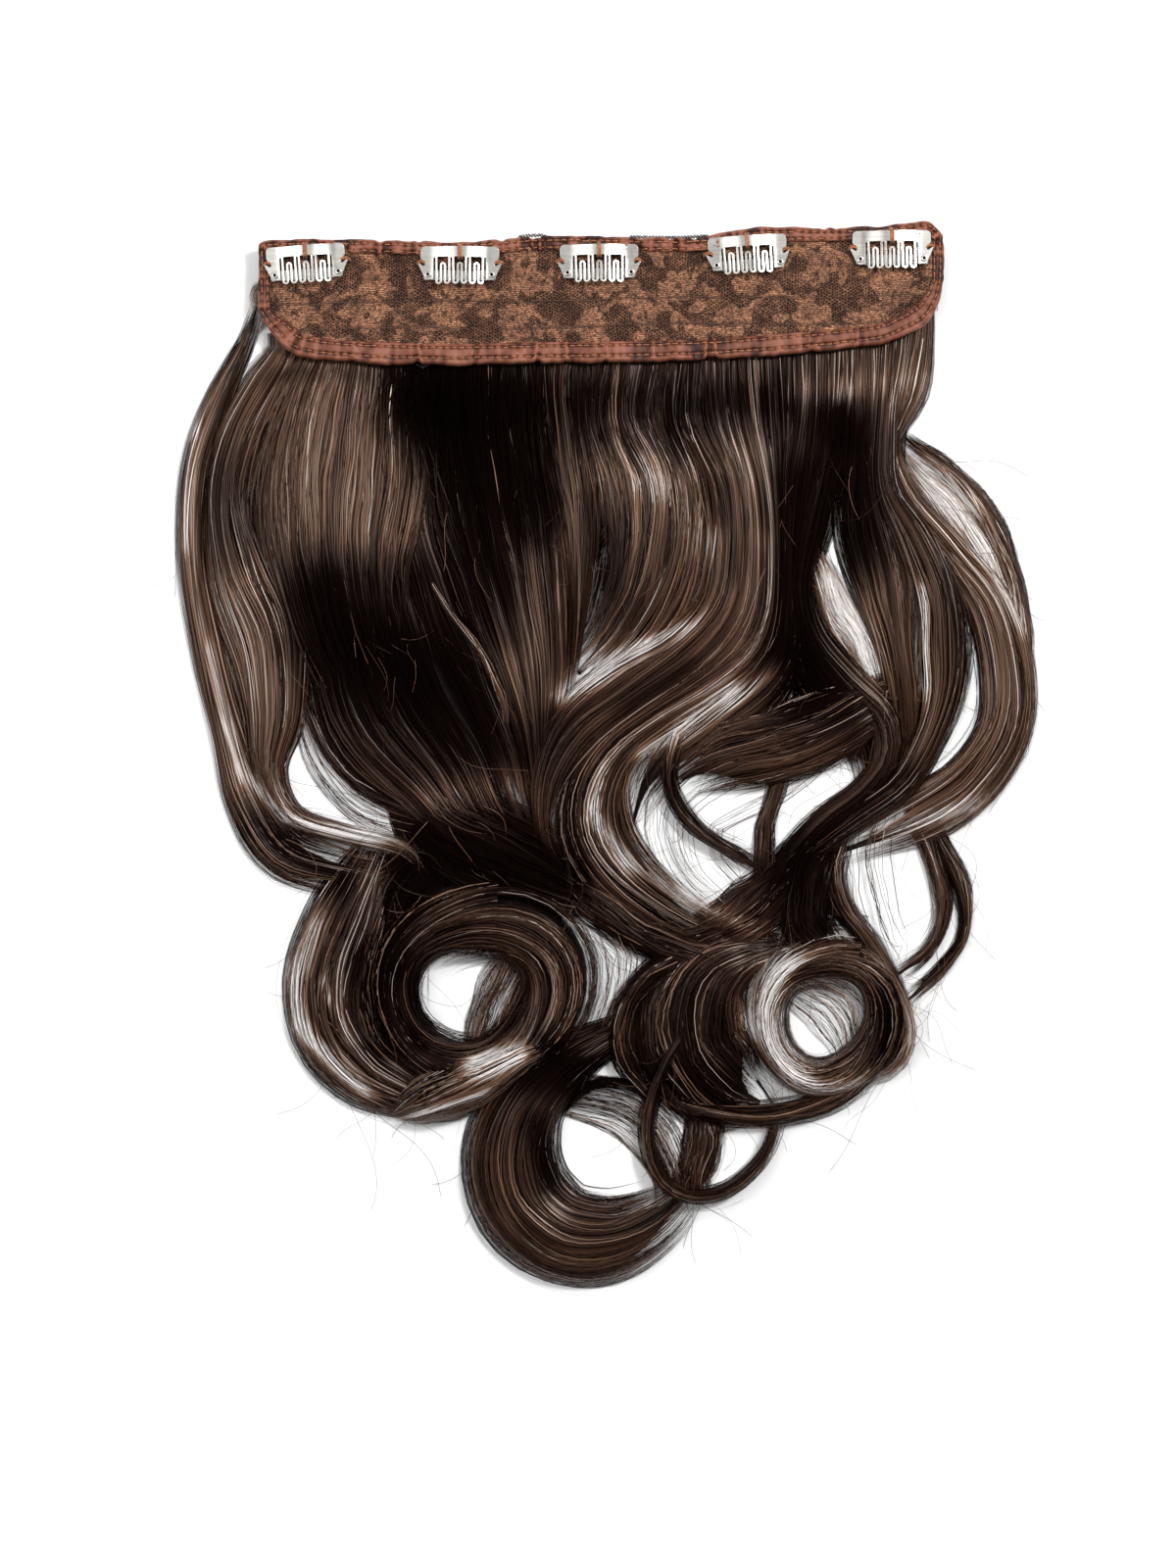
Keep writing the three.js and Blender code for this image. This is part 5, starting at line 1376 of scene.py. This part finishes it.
def lock_tresses(lock, rng, finish):
    """The lock's tresses: centre points, flat side vectors, half widths and tones."""
    line, length = lock_line(lock)
    side, _ = sides_of(line)
    stations = int(np.clip(length / finish.station, 8, 90)) + 1
    widest = np.percentile(line[:, 2], 75)
    count = int(max(lock.get("dense", finish.density) * widest, 6))
    sparse = "dense" in lock
    clumps = max(int(widest / CLUMP_WIDTH), 3)
    centre = (np.arange(clumps) + rng.uniform(0.2, 0.8, clumps)) / clumps - 0.5
    own = rng.integers(0, clumps, count)
    spread = rng.normal(0, 0.5 / clumps, count)
    lateral = np.clip(centre[own] + spread, -0.53, 0.53)
    stray = rng.random(count) < 0.05 * (1 + lock["loose"])
    lateral = np.where(stray, lateral * rng.uniform(1.0, 1.22, count), lateral)
    depth = rng.random(count) ** 1.6 * (0.3 if sparse else 0.45)
    start = np.where(rng.random(count) < (0.8 if "root" in lock else 0.4), 0.0,
                     rng.uniform(0, 0.25, count))
    ragged = lock.get("ragged", 0.07 + 0.03 * lock["loose"])
    stop = np.clip(1 - np.abs(rng.normal(0, ragged, count)), 0.4, 1.0)
    if "root" in lock:
        start[:] = 0.0
    elif "ring" not in lock:
        start = start * 0.5 + np.abs(rng.normal(0, 0.06, count))
    t = start[:, None] + (stop - start)[:, None] * np.linspace(0, 1, stations)[None, :]
    at = t * (len(line) - 1)
    width, side_x, side_y = (sampled(v, at) for v in (line[:, 2], side[:, 0], side[:, 1]))
    gather = 1 - 0.35 * smoothstep(t, 0.3, 1.0)
    clump_sway = np.zeros_like(t)
    for k in range(2):
        phase = rng.uniform(0, 6.28, clumps)[own][:, None]
        rate = rng.uniform(1.2, 3.2, clumps)[own][:, None]
        clump_sway += 0.5 / (k + 1) / widest * np.sin(2 * math.pi * rate * (k + 1) * t + phase)
    sway = rng.normal(0, 0.25 / widest, count)[:, None] * np.sin(
        2 * math.pi * rng.uniform(0.8, 3, count)[:, None] * t
        + rng.uniform(0, 6.28, count)[:, None])
    rooted = smoothstep(t, 0.0, 0.12) if "root" in lock else 1.0
    lat = (centre[own][:, None] + (lateral - centre[own])[:, None] * gather
           + (clump_sway + sway) * rooted)
    if "root" in lock:
        lat = lat * (1 + 0.16 * (1 - smoothstep(t, 0.25, 0.6)))
    elif "ring" in lock:
        winding = rng.normal(0.34, 0.24, clumps)[own][:, None]
        lat = lat + winding * (t - 0.5) + 0.07 * np.sin(
            2 * math.pi * t * 1.7 + 6.28 * centre[own][:, None])
    else:
        lat = lat * (0.75 + 0.25 * smoothstep(t, 0.0, 0.2))
    frizz = lock["loose"] * 0.5 * np.sin(
        2 * math.pi * rng.uniform(1.5, 4, count)[:, None] * t
        + rng.uniform(0, 6.28, count)[:, None])
    off = lat * width + frizz * rooted * rng.random(count)[:, None]
    leave = np.where(stray, rng.normal(0, 2.2, count), 0)[:, None] * smoothstep(t, 0.4, 1.0)
    off = off + leave
    x = sampled(line[:, 0], at) + side_x * off
    y = sampled(line[:, 1], at) + side_y * off
    under, over = lock_levels(lock, t)
    bulk = dome(np.clip(off / np.maximum(width, 1e-3), -0.5, 0.5))
    within = np.clip((lateral - centre[own]) * clumps, -1, 1)[:, None]
    ridge = 0.9 * (1 - within**2) * rooted * (0.4 if sparse else 1.0)
    level = under + (over - under) * bulk * (1 - depth[:, None]) + ridge * 0.8 - 0.4
    level = np.maximum(level, 0.35 + 0.25 * rng.random(count)[:, None])
    if "root" in lock:
        level = np.where(t < 0.05, np.minimum(level, BINDING_BACK - 0.25), level)
    points = np.stack([x, y, level], -1)
    slope = -2 * np.clip(off / np.maximum(width, 1e-3), -0.46, 0.46) / np.maximum(bulk, 0.25)
    slope = slope * (over - under) / np.maximum(width, 1e-3) * 2
    flat = unit(np.stack([side_x, side_y, slope - within * 0.5], -1))
    run = unit(np.gradient(points, axis=1))
    flat = unit(flat - run * (flat * run).sum(-1, keepdims=True))
    normal = np.cross(run, flat)
    roll = rng.normal(0, 0.3, count)[:, None, None]
    flat = flat * np.cos(roll) + normal * np.sin(roll)
    half = finish.fibre_width / 2 * rng.uniform(0.6, 1.45, count)[:, None] * taper(stations)
    if sparse:
        half = half * 0.7
    tone = lock["tone"] + rng.normal(0, 0.11, count)[:, None]
    # painted shade: fibres deeper in the lock are drawn darker, as shaded by the fibres over them
    tone = tone + rng.normal(0, 0.035, clumps)[own][:, None] - 0.4 * depth[:, None]
    tone = tone + 0.045 * np.sin(
        2 * math.pi * rng.uniform(0.7, 2.2, clumps)[own][:, None] * t
        + rng.uniform(0, 6.28, clumps)[own][:, None])
    # painted highlights and painted shade from the strokes
    tone = shaded(tone, painted_light_at(x, y), answers(rng, count))
    # painted shade: a lock without a root is drawn darker where it comes out from under the others
    if "root" not in lock and "ring" not in lock:
        tone = tone * (0.35 + 0.65 * smoothstep(t, 0.0, lock.get("rise", 0.3)))
        half = half * np.clip(0.15 + 9 * np.linspace(0, 1, stations), 0, 1)
    # painted shade: fibres towards a full lock's sides are drawn a little darker
    tone = tone - (0 if sparse else 0.05) * (np.abs(lateral) * 2)[:, None] ** 3
    # silver fibres: light fibres that also stand for painted highlight
    silver = rng.random(count) < lock["light"]
    tone = np.where(silver[:, None], np.maximum(tone, 0.62 + 0.25 * rng.random(count)[:, None]),
                    tone)
    return points, flat, half, np.clip(tone, 0, 1)


FALLS = ("left_fall", "left_panel", "centre_left", "centre_lock", "wave_upper", "wave_lower",
         "silver_wave", "right_pinch", "right_cross", "right_mid", "right_outer", "bulge")


def between_tresses(first, second, rng, finish):
    """Tresses that fall between two neighbouring locks, for as long as the two lie together."""
    (line_a, length_a), (line_b, length_b) = lock_line(first), lock_line(second)
    share = np.linspace(0, 1, len(line_a))
    reach = min(length_a, length_b)
    run = share * reach

    def at(line, length):
        return np.stack([np.interp(run, share * length, line[:, k]) for k in range(3)], 1)

    a, b = at(line_a, length_a), at(line_b, length_b)
    gap = np.linalg.norm(a[:, :2] - b[:, :2], axis=1) - (a[:, 2] + b[:, 2]) / 2
    apart = np.nonzero(gap > 3.5)[0]
    last = int(apart[0]) if len(apart) else int(0.75 * len(a))
    if last < 12:
        return None
    count, stations = 130, 26
    mix = np.clip(rng.normal(0.5, 0.24, count), 0, 1)[:, None]
    drift = rng.normal(0, 0.22, count)[:, None]
    t = np.linspace(0, 1, stations)[None, :] * rng.uniform(0.55, 1.0, count)[:, None]
    mix = np.clip(mix + drift * t, 0, 1)
    x, y = (sampled(a[:, k], t * last) * (1 - mix) + sampled(b[:, k], t * last) * mix
            for k in (0, 1))
    _, over_a = lock_levels(first, t * last / len(a))
    _, over_b = lock_levels(second, t * last / len(a))
    top = over_a * (1 - mix) + over_b * mix
    level = top * rng.uniform(0.72, 1.0, count)[:, None]
    level = np.where(t < 0.05, np.minimum(level, BINDING_BACK - 0.25), level)
    points = np.stack([x, y, level], -1)
    forward = unit(np.gradient(points, axis=1))
    roll = rng.normal(0, 0.35, count)[:, None]
    flat = np.stack([-forward[..., 1] * np.cos(roll), forward[..., 0] * np.cos(roll),
                     np.broadcast_to(np.sin(roll), x.shape)], -1)
    half = finish.fibre_width / 2 * rng.uniform(0.6, 1.3, count)[:, None] * taper(stations)
    tone = first["tone"] * (1 - mix) + second["tone"] * mix
    # painted shade: a little darker on average than the locks on either side
    tone = tone + rng.normal(-0.04, 0.11, count)[:, None]
    # painted highlights and painted shade from the strokes
    tone = shaded(tone, painted_light_at(x, y), answers(rng, count))
    return points, flat, half, np.clip(tone, 0, 1)


def fibre_material(name, finish):
    """Heat-resistant synthetic fibre, drawn smooth and dyed: glossy, with fair and dark fibres.

    Real fibres are under 0.1 mm wide, so each one drawn stands for a small tress."""
    material, tree = start_material(name)
    tone = attribute(tree, "tone")
    # the ramp paints light as well as colour: deep_shade is painted shade, silver painted highlight
    colour = colour_ramp(tree, tone, [
        (0.0, tuple(finish.deep_shade)), (0.25, tuple(finish.dark)), (0.5, tuple(finish.middle)),
        (0.72, tuple(finish.fair)), (1.0, tuple(finish.silver)),
    ])
    finish_material(tree, {"Base Color": colour, "Roughness": 0.3, "IOR": 1.55,
                           "Specular Tint": (1.0, 0.8, 0.68, 1.0),
                           "Specular IOR Level": remapped(tree, tone, 0.14, 0.62, 0.0, 0.46)})
    return material


def tress_piece(name, parts, material):
    """One mesh of flat tresses from several locks' points, sides, half widths and tones."""
    vertices, faces, tones, maps, start, row = [], [], [], [], 0, 0
    total = sum(len(points) for points, *_ in parts)
    for points, flat, half, tone in parts:
        count, stations = tone.shape
        left = points - flat * half[..., None]
        right = points + flat * half[..., None]
        both = np.stack([left, right], 2).reshape(-1, 3)
        vertices.append(in_frame(*both.T))
        tones.append(np.repeat(tone.reshape(-1), 2))
        one = grid_faces(stations, 2)
        faces.append((one[None] + (np.arange(count) * stations * 2)[:, None, None]).reshape(-1, 4)
                     + start)
        u = np.broadcast_to(np.linspace(0.002, 0.998, stations)[None, :, None],
                            (count, stations, 2))
        v = (row + np.arange(count)[:, None, None] + np.array([0.2, 0.8])[None, None, :]) / total
        maps.append(np.stack([u, np.broadcast_to(v, u.shape)], -1).reshape(-1, 2))
        start += len(both)
        row += count
    faces = np.concatenate(faces)
    piece = mesh_object(name, np.concatenate(vertices), faces, material)
    write_attribute(piece, "tone", np.concatenate(tones))
    layer = piece.data.uv_layers.new(name="OFBake")
    uv = np.concatenate(maps)[faces.ravel()]
    layer.uv.foreach_set("vector", uv.astype(np.float32).ravel())
    return piece


PIECES = {
    "hair_left": ("left_rim", "left_fall", "left_under", "left_panel", "left_net", "streak",
                  "tuft"),
    "hair_middle": ("centre_left", "centre_lock", "wave_upper", "wave_lower", "shade",
                    "shade_low", "centre_gap", "knot", "low_net"),
    "hair_right": ("silver_wave", "right_pinch", "pinch_right", "cross_band", "hook",
                   "knot_right", "fork", "right_cross", "right_mid", "right_outer",
                   "right_glint", "right_mass"),
    "hair_rim": ("bulge", "bulge_rim", "tail_inner", "tail_outer", "loop_left", "bulge_gap",
                 "tail_net", "silver_right", "ring_right", "ring_right_gap", "low_band"),
    "hair_curls": ("wave_left", "ring_left", "ring_left_gap", "roll", "bottom_curl", "arch",
                   "small_ring", "tangle", "thin_ring", "inner_fall", "curl_gap"),
}


def make_locks(finish):
    """Every lock as hundreds of tresses, in five pieces."""
    material = fibre_material("synthetic_fibre", finish)
    by_name = {lock["name"]: lock for lock in LOCKS + WISPS}
    for seed, (piece_name, names) in enumerate(PIECES.items()):
        rng = np.random.default_rng(100 + seed)
        parts = [lock_tresses(by_name[name], rng, finish) for name in names]
        for first, second in zip(FALLS, FALLS[1:]):
            if first in names:
                between = between_tresses(by_name[first], by_name[second], rng, finish)
                parts += [between] if between else []
        settle(tress_piece(piece_name, parts, material), "hair", "hair")


def make_underlay(finish):
    """The close inner fibres of each lock, as smooth forms in painted shade just under the tresses.
    """
    profile = np.array([(-0.5, 0.04), (-0.44, 0.42), (-0.3, 0.74), (-0.12, 0.92), (0.12, 0.92),
                        (0.3, 0.74), (0.44, 0.42), (0.5, 0.04), (0.4, 0.0), (0.0, 0.0),
                        (-0.4, 0.0)])
    vertices, faces, start = [], [], 0
    for lock in LOCKS:
        line, length = lock_line(lock)
        count = int(np.clip(length / 5, 10, 80))
        rows, _ = evenly(line, count)
        side, _ = sides_of(rows)
        share = np.linspace(0, 1, count)
        under, over = lock_levels(lock, share)
        squeeze = 0.84 * (1 - 0.85 * smoothstep(share, 0.72, 0.97))
        if "ring" in lock:
            squeeze = np.full(count, 0.74)
        elif "root" not in lock:
            squeeze = squeeze * (0.1 + 0.9 * smoothstep(share, 0.0, 0.2))
        off = profile[None, :, 0] * rows[:, 2, None] * squeeze[:, None]
        low = under + 0.25
        high = np.maximum((over * 0.66 - 0.6) * np.sqrt(squeeze / 0.84), low + 0.3)
        if "root" in lock:
            high = np.minimum(high, BINDING_BACK - 1.0 + 40 * np.clip(share - 0.05, 0, 1))
        z = low[:, None] + (high - low)[:, None] * profile[None, :, 1]
        x = rows[:, 0, None] + side[:, 0, None] * off
        y = rows[:, 1, None] + side[:, 1, None] * off
        points = in_frame(x, y, z).reshape(-1, 3)
        ring = len(profile)
        faces += (grid_faces(count, ring, close_columns=True) + start).tolist()
        faces.append([start + k for k in range(ring)])
        faces.append([start + (count - 1) * ring + k for k in reversed(range(ring))])
        vertices.append(points)
        start += count * ring
    piece = mixed_mesh_object("hair_core", np.concatenate(vertices), faces, core_material(finish))
    return settle(piece, "hair", "hair")


def core_material(finish):
    """The same fibre in the depth of a lock, packed close: dark as painted shade, with faint
    lengthwise streaks.
    """
    material, tree = start_material("packed_fibre")
    streaks = noise(tree, object_place(tree), 700.0, 3.0, distortion=0.4)
    colour = colour_ramp(tree, streaks, [
        (0.35, tuple(finish.deep_shade)), (0.65, tuple(finish.dark))])
    finish_material(tree, {"Base Color": colour, "Roughness": 0.6, "Specular IOR Level": 0.08,
                           "Normal": bumped(tree, 0.5, 0.0003, streaks)})
    return material


def make_root_fall(finish):
    """Fibres that hang from the weft rows under the base, down its back and along its belly."""
    rng = np.random.default_rng(61)
    count = 2400
    x = rng.uniform(-BASE_LENGTH / 2 + 3, 0.495 * BASE_LENGTH - 3, count)
    top = edge_height(TOP_EDGE, x) - 2.6 - rng.random(count) * 1.2
    low = edge_height(BOTTOM_EDGE, x) + 2.0
    share = np.array([0.0, 0.012, 0.04, 0.1, 0.3, 0.6, 1.0])
    y = top[:, None] + (low - top)[:, None] * share
    lift = rng.uniform(0.3, 4.6, count)[:, None]
    start = np.maximum(lift, rng.uniform(4.4, 6.8, count)[:, None])
    z = lift + (start - lift) * np.array([1.0, 0.75, 0.3, 0.08, 0, 0, 0.2])
    x = x[:, None] + np.cumsum(rng.normal(0, 0.25, (count, len(share))), 1)
    points = np.stack([x, y, z], -1)
    flat = np.zeros_like(points)
    roll = rng.normal(0, 0.5, count)[:, None]
    flat[..., 0], flat[..., 2] = np.cos(roll), np.sin(roll)
    half = np.full((count, len(share)), finish.fibre_width * 0.6)
    tone = np.clip(rng.normal(0.52, 0.15, count)[:, None] + np.zeros((1, len(share))), 0, 1)
    piece = tress_piece("root_fall", [(points, flat, half, tone)],
                        fibre_material("root_fibre", finish))
    settle(piece, "hair", "hair")
    outline = np.vstack([edge_points(BOTTOM_EDGE, 90), edge_points(TOP_EDGE, 90)[::-1]])
    middle = outline.mean(0)
    rings, profile = [], [(5.0, 0.4), (3.6, 1.2), (3.2, 2.8), (3.6, 4.2), (5.0, 4.9)]
    for inset, level in profile:
        away = outline - middle
        shrunk = outline - np.column_stack([
            np.clip(away[:, 0], -inset, inset), np.clip(away[:, 1] * 4, -inset, inset)])
        rings.append(in_frame(shrunk[:, 0], shrunk[:, 1], np.full(len(shrunk), level)))
    points = np.concatenate(rings)
    around = len(outline)
    faces = grid_faces(len(profile), around, close_columns=True).tolist()
    faces.append(list(range(around))[::-1])
    faces.append([(len(profile) - 1) * around + k for k in range(around)])
    mass = mixed_mesh_object("root_mass", points, faces, core_material(finish), smooth=False)
    settle(mass, "hair", "hair")


STRAY_REACH = 12.0  # millimetres that a stray fibre may pass the solids to the sides


def make_strays(finish):
    """Single fibres that have left the locks and lie loose over them and the table."""
    rng = np.random.default_rng(71)
    stations = 16
    steps = np.linspace(0, 1, stations)
    lines = [(lock, *lock_line(lock)) for lock in LOCKS]
    weights = np.array([length for _, _, length in lines])
    points_all, flat_all = [], []
    reach_out = np.array([[-STRAY_REACH], [STRAY_REACH]])
    limits = np.array([tuple(c)[:2] for c in CAD_BOUNDS]) / MM - MIDDLE + reach_out
    for _ in range(finish.stray_count):
        lock, line, length = lines[rng.choice(len(lines), p=weights / weights.sum())]
        side, tangent = sides_of(line)
        where = rng.uniform(0.15, 0.95)
        i = int(where * (len(line) - 1))
        out = rng.choice([-1, 1])
        at = line[i, :2] + side[i] * line[i, 2] * 0.5 * out * rng.uniform(-0.4, 1.0)
        heading = math.atan2(tangent[i, 1], tangent[i, 0]) + out * rng.uniform(0.05, 0.7)
        bend = rng.normal(0, 1.1) - out * 0.4
        reach = rng.uniform(10, 48)
        angle = heading + bend * steps + 0.25 * np.sin(steps * rng.uniform(3, 9))
        step = reach / (stations - 1)
        x = at[0] + np.concatenate([[0], np.cumsum(np.cos(angle[:-1]) * step)])
        y = at[1] + np.concatenate([[0], np.cumsum(np.sin(angle[:-1]) * step)])
        _, over = lock_levels(lock, np.array([where]))
        z = over[0] * (1 - steps) ** 1.5 * rng.uniform(0.5, 1.1) + 0.4
        z += np.sin(steps * math.pi) * rng.uniform(0, 5)
        if np.all(x > limits[0, 0]) and np.all(x < limits[1, 0]) and np.all(y > limits[0, 1]):
            points_all.append(np.column_stack([x, y, z]))
            flat_all.append(np.column_stack([-np.sin(angle), np.cos(angle), 0 * angle]))
    points = np.stack(points_all)
    count = len(points)
    half = np.full((count, stations), 0.06) * rng.uniform(0.7, 1.4, count)[:, None]
    half[:, -1] *= 0.3
    tone = np.clip(rng.normal(0.52, 0.1, count)[:, None] + np.zeros((1, stations)), 0, 1)
    piece = tress_piece("stray_fibres", [(points, np.stack(flat_all), half, tone)],
                        fibre_material("stray_fibre", finish))
    return settle(piece, "hair", "hair")


# Stage


def paper_material(finish):
    """White paper sweep, uncoated: even and matte with the faintest tooth."""
    material, tree = start_material("paper_sweep")
    tooth = noise(tree, object_place(tree), 900.0)
    finish_material(tree, {"Base Color": tuple(finish.floor), "Roughness": 0.9,
                           "Specular IOR Level": 0.1,
                           "Normal": bumped(tree, 0.02, 0.0002, tooth)})
    return material


def area_light(name, place, target, size, power):
    light = bpy.data.lights.new(name, "AREA")
    light.shape = "RECTANGLE"
    light.size, light.size_y = size
    light.energy = power
    lamp = link_object(name, light)
    lamp.location = place
    lamp.rotation_euler = (Vector(target) - Vector(place)).to_track_quat("-Z", "Y").to_euler()
    return lamp


FLOOR_SIZE = 6.0  # metres from the middle of the floor to its sides
FLOOR_DROP = 0.0002  # metres that the floor lies under the piece
SENSOR = 36.0  # height of the camera's sensor in millimetres


def make_stage(finish):
    """White floor, white room, key light from the upper right, soft boxes, camera overhead."""
    size = FLOOR_SIZE
    corners = [(-size, -size, 0), (size, -size, 0), (size, size, 0), (-size, size, 0)]
    floor = mesh_object("floor", np.array(corners) - [0, 0, FLOOR_DROP], [[0, 1, 2, 3]],
                        paper_material(finish), smooth=False)
    world = bpy.data.worlds.new("white_room")
    world.use_nodes = True
    background = world.node_tree.nodes["Background"]
    background.inputs["Color"].default_value = (1, 1, 1, 1)
    background.inputs["Strength"].default_value = finish.room_strength
    scene = bpy.context.scene
    scene.world = world
    scene.view_settings.view_transform = "Standard"
    area_light("key_light", (0.8, 0.6, 1.5), (0, 0, 0), (0.3, 0.3), finish.key_power)
    area_light("soft_box", (-0.86, 0.2, 1.25), (-0.1, 0.1, 0), (0.66, 1.3), finish.box_power)
    area_light("top_box", (-0.1, 0.98, 1.3), (0, 0.1, 0), (1.3, 0.6), finish.top_power)
    fill = area_light("fill_light", (0, 0, 1.8), (0, 0, 0), (2.2, 2.2), finish.fill_power)
    fill.visible_glossy = False
    x = ((PHOTO_SIZE[0] / 2 - PHOTO_BASE[0]) * UNIT + MIDDLE[0]) * MM
    y = ((PHOTO_BASE[1] - PHOTO_SIZE[1] / 2) * UNIT + MIDDLE[1]) * MM
    camera = bpy.data.cameras.new("camera")
    camera.sensor_fit = "VERTICAL"
    camera.sensor_height = SENSOR
    camera.lens = SENSOR * finish.camera_height / (PHOTO_SIZE[1] * UNIT * MM)
    camera.clip_end = 20
    eye = link_object("camera", camera)
    eye.location = (x, y, finish.camera_height)
    scene.camera = eye


# Operators, panel and registration


class HAIRPIECE_OT_stage(bpy.types.Operator):
    """Lay the white floor and set the lights and the camera"""

    bl_idname = "hairpiece.stage"
    bl_label = "Stage"

    def execute(self, context):
        make_stage(context.scene.hairpiece_stage)
        return {"FINISHED"}


class HAIRPIECE_OT_lace(bpy.types.Operator):
    """Make the lace panel and the sewing over it"""

    bl_idname = "hairpiece.lace"
    bl_label = "Lace panel"

    def execute(self, context):
        lace = make_lace(context.scene.hairpiece_base)
        seams = make_lace_stitches(context.scene.hairpiece_base)
        return {"FINISHED"}


class HAIRPIECE_OT_binding(bpy.types.Operator):
    """Make the satin binding and its two rows of stitches"""

    bl_idname = "hairpiece.binding"
    bl_label = "Satin binding"

    def execute(self, context):
        tape = make_binding(context.scene.hairpiece_base)
        stitches = make_binding_stitches(context.scene.hairpiece_base)
        return {"FINISHED"}


class HAIRPIECE_OT_wefts(bpy.types.Operator):
    """Finish the weft rows and their selvedge"""

    bl_idname = "hairpiece.wefts"
    bl_label = "Weft rows"

    def execute(self, context):
        make_wefts(context.scene.hairpiece_base)
        return {"FINISHED"}


class HAIRPIECE_OT_combs(bpy.types.Operator):
    """Make the snap combs"""

    bl_idname = "hairpiece.combs"
    bl_label = "Snap combs"

    def execute(self, context):
        make_combs(context.scene.hairpiece_base)
        return {"FINISHED"}


class HAIRPIECE_OT_comb_threads(bpy.types.Operator):
    """Sew the combs to the binding"""

    bl_idname = "hairpiece.comb_threads"
    bl_label = "Comb threads"

    def execute(self, context):
        make_thread_loops(context.scene.hairpiece_base)
        return {"FINISHED"}


class HAIRPIECE_OT_core(bpy.types.Operator):
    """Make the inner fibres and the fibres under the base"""

    bl_idname = "hairpiece.core"
    bl_label = "Inner hair"

    def execute(self, context):
        make_underlay(context.scene.hairpiece_hair)
        make_root_fall(context.scene.hairpiece_hair)
        return {"FINISHED"}


class HAIRPIECE_OT_locks(bpy.types.Operator):
    """Make the locks of hair"""

    bl_idname = "hairpiece.locks"
    bl_label = "Locks"

    def execute(self, context):
        make_locks(context.scene.hairpiece_hair)
        return {"FINISHED"}


class HAIRPIECE_OT_strays(bpy.types.Operator):
    """Make the stray fibres"""

    bl_idname = "hairpiece.strays"
    bl_label = "Stray fibres"

    def execute(self, context):
        make_strays(context.scene.hairpiece_hair)
        return {"FINISHED"}


OPERATORS = (
    HAIRPIECE_OT_stage, HAIRPIECE_OT_lace, HAIRPIECE_OT_binding, HAIRPIECE_OT_wefts,
    HAIRPIECE_OT_combs, HAIRPIECE_OT_comb_threads, HAIRPIECE_OT_core, HAIRPIECE_OT_locks,
    HAIRPIECE_OT_strays,
)


class HAIRPIECE_PT_panel(bpy.types.Panel):
    """The pieces, in the order that they are made"""

    bl_idname = "HAIRPIECE_PT_panel"
    bl_label = "Hair piece"
    bl_space_type = "VIEW_3D"
    bl_region_type = "UI"
    bl_category = "Hair piece"

    def draw(self, context):
        for operator in OPERATORS:
            self.layout.operator(operator.bl_idname)
        for group in ("hairpiece_hair", "hairpiece_base", "hairpiece_stage"):
            settings = getattr(context.scene, group)
            box = self.layout.box()
            for name in settings.__annotations__:
                box.prop(settings, name)


CLASSES = (HairFinish, BaseFinish, StageFinish, *OPERATORS, HAIRPIECE_PT_panel)


def register():
    for made in CLASSES:
        bpy.utils.register_class(made)
    bpy.types.Scene.hairpiece_hair = PointerProperty(type=HairFinish)
    bpy.types.Scene.hairpiece_base = PointerProperty(type=BaseFinish)
    bpy.types.Scene.hairpiece_stage = PointerProperty(type=StageFinish)


def unregister():
    del bpy.types.Scene.hairpiece_stage
    del bpy.types.Scene.hairpiece_base
    del bpy.types.Scene.hairpiece_hair
    for made in reversed(CLASSES):
        bpy.utils.unregister_class(made)


def main():
    register()
    for operator in OPERATORS:
        group, name = operator.bl_idname.split(".")
        getattr(getattr(bpy.ops, group), name)()


if __name__ == "__main__":
    main()
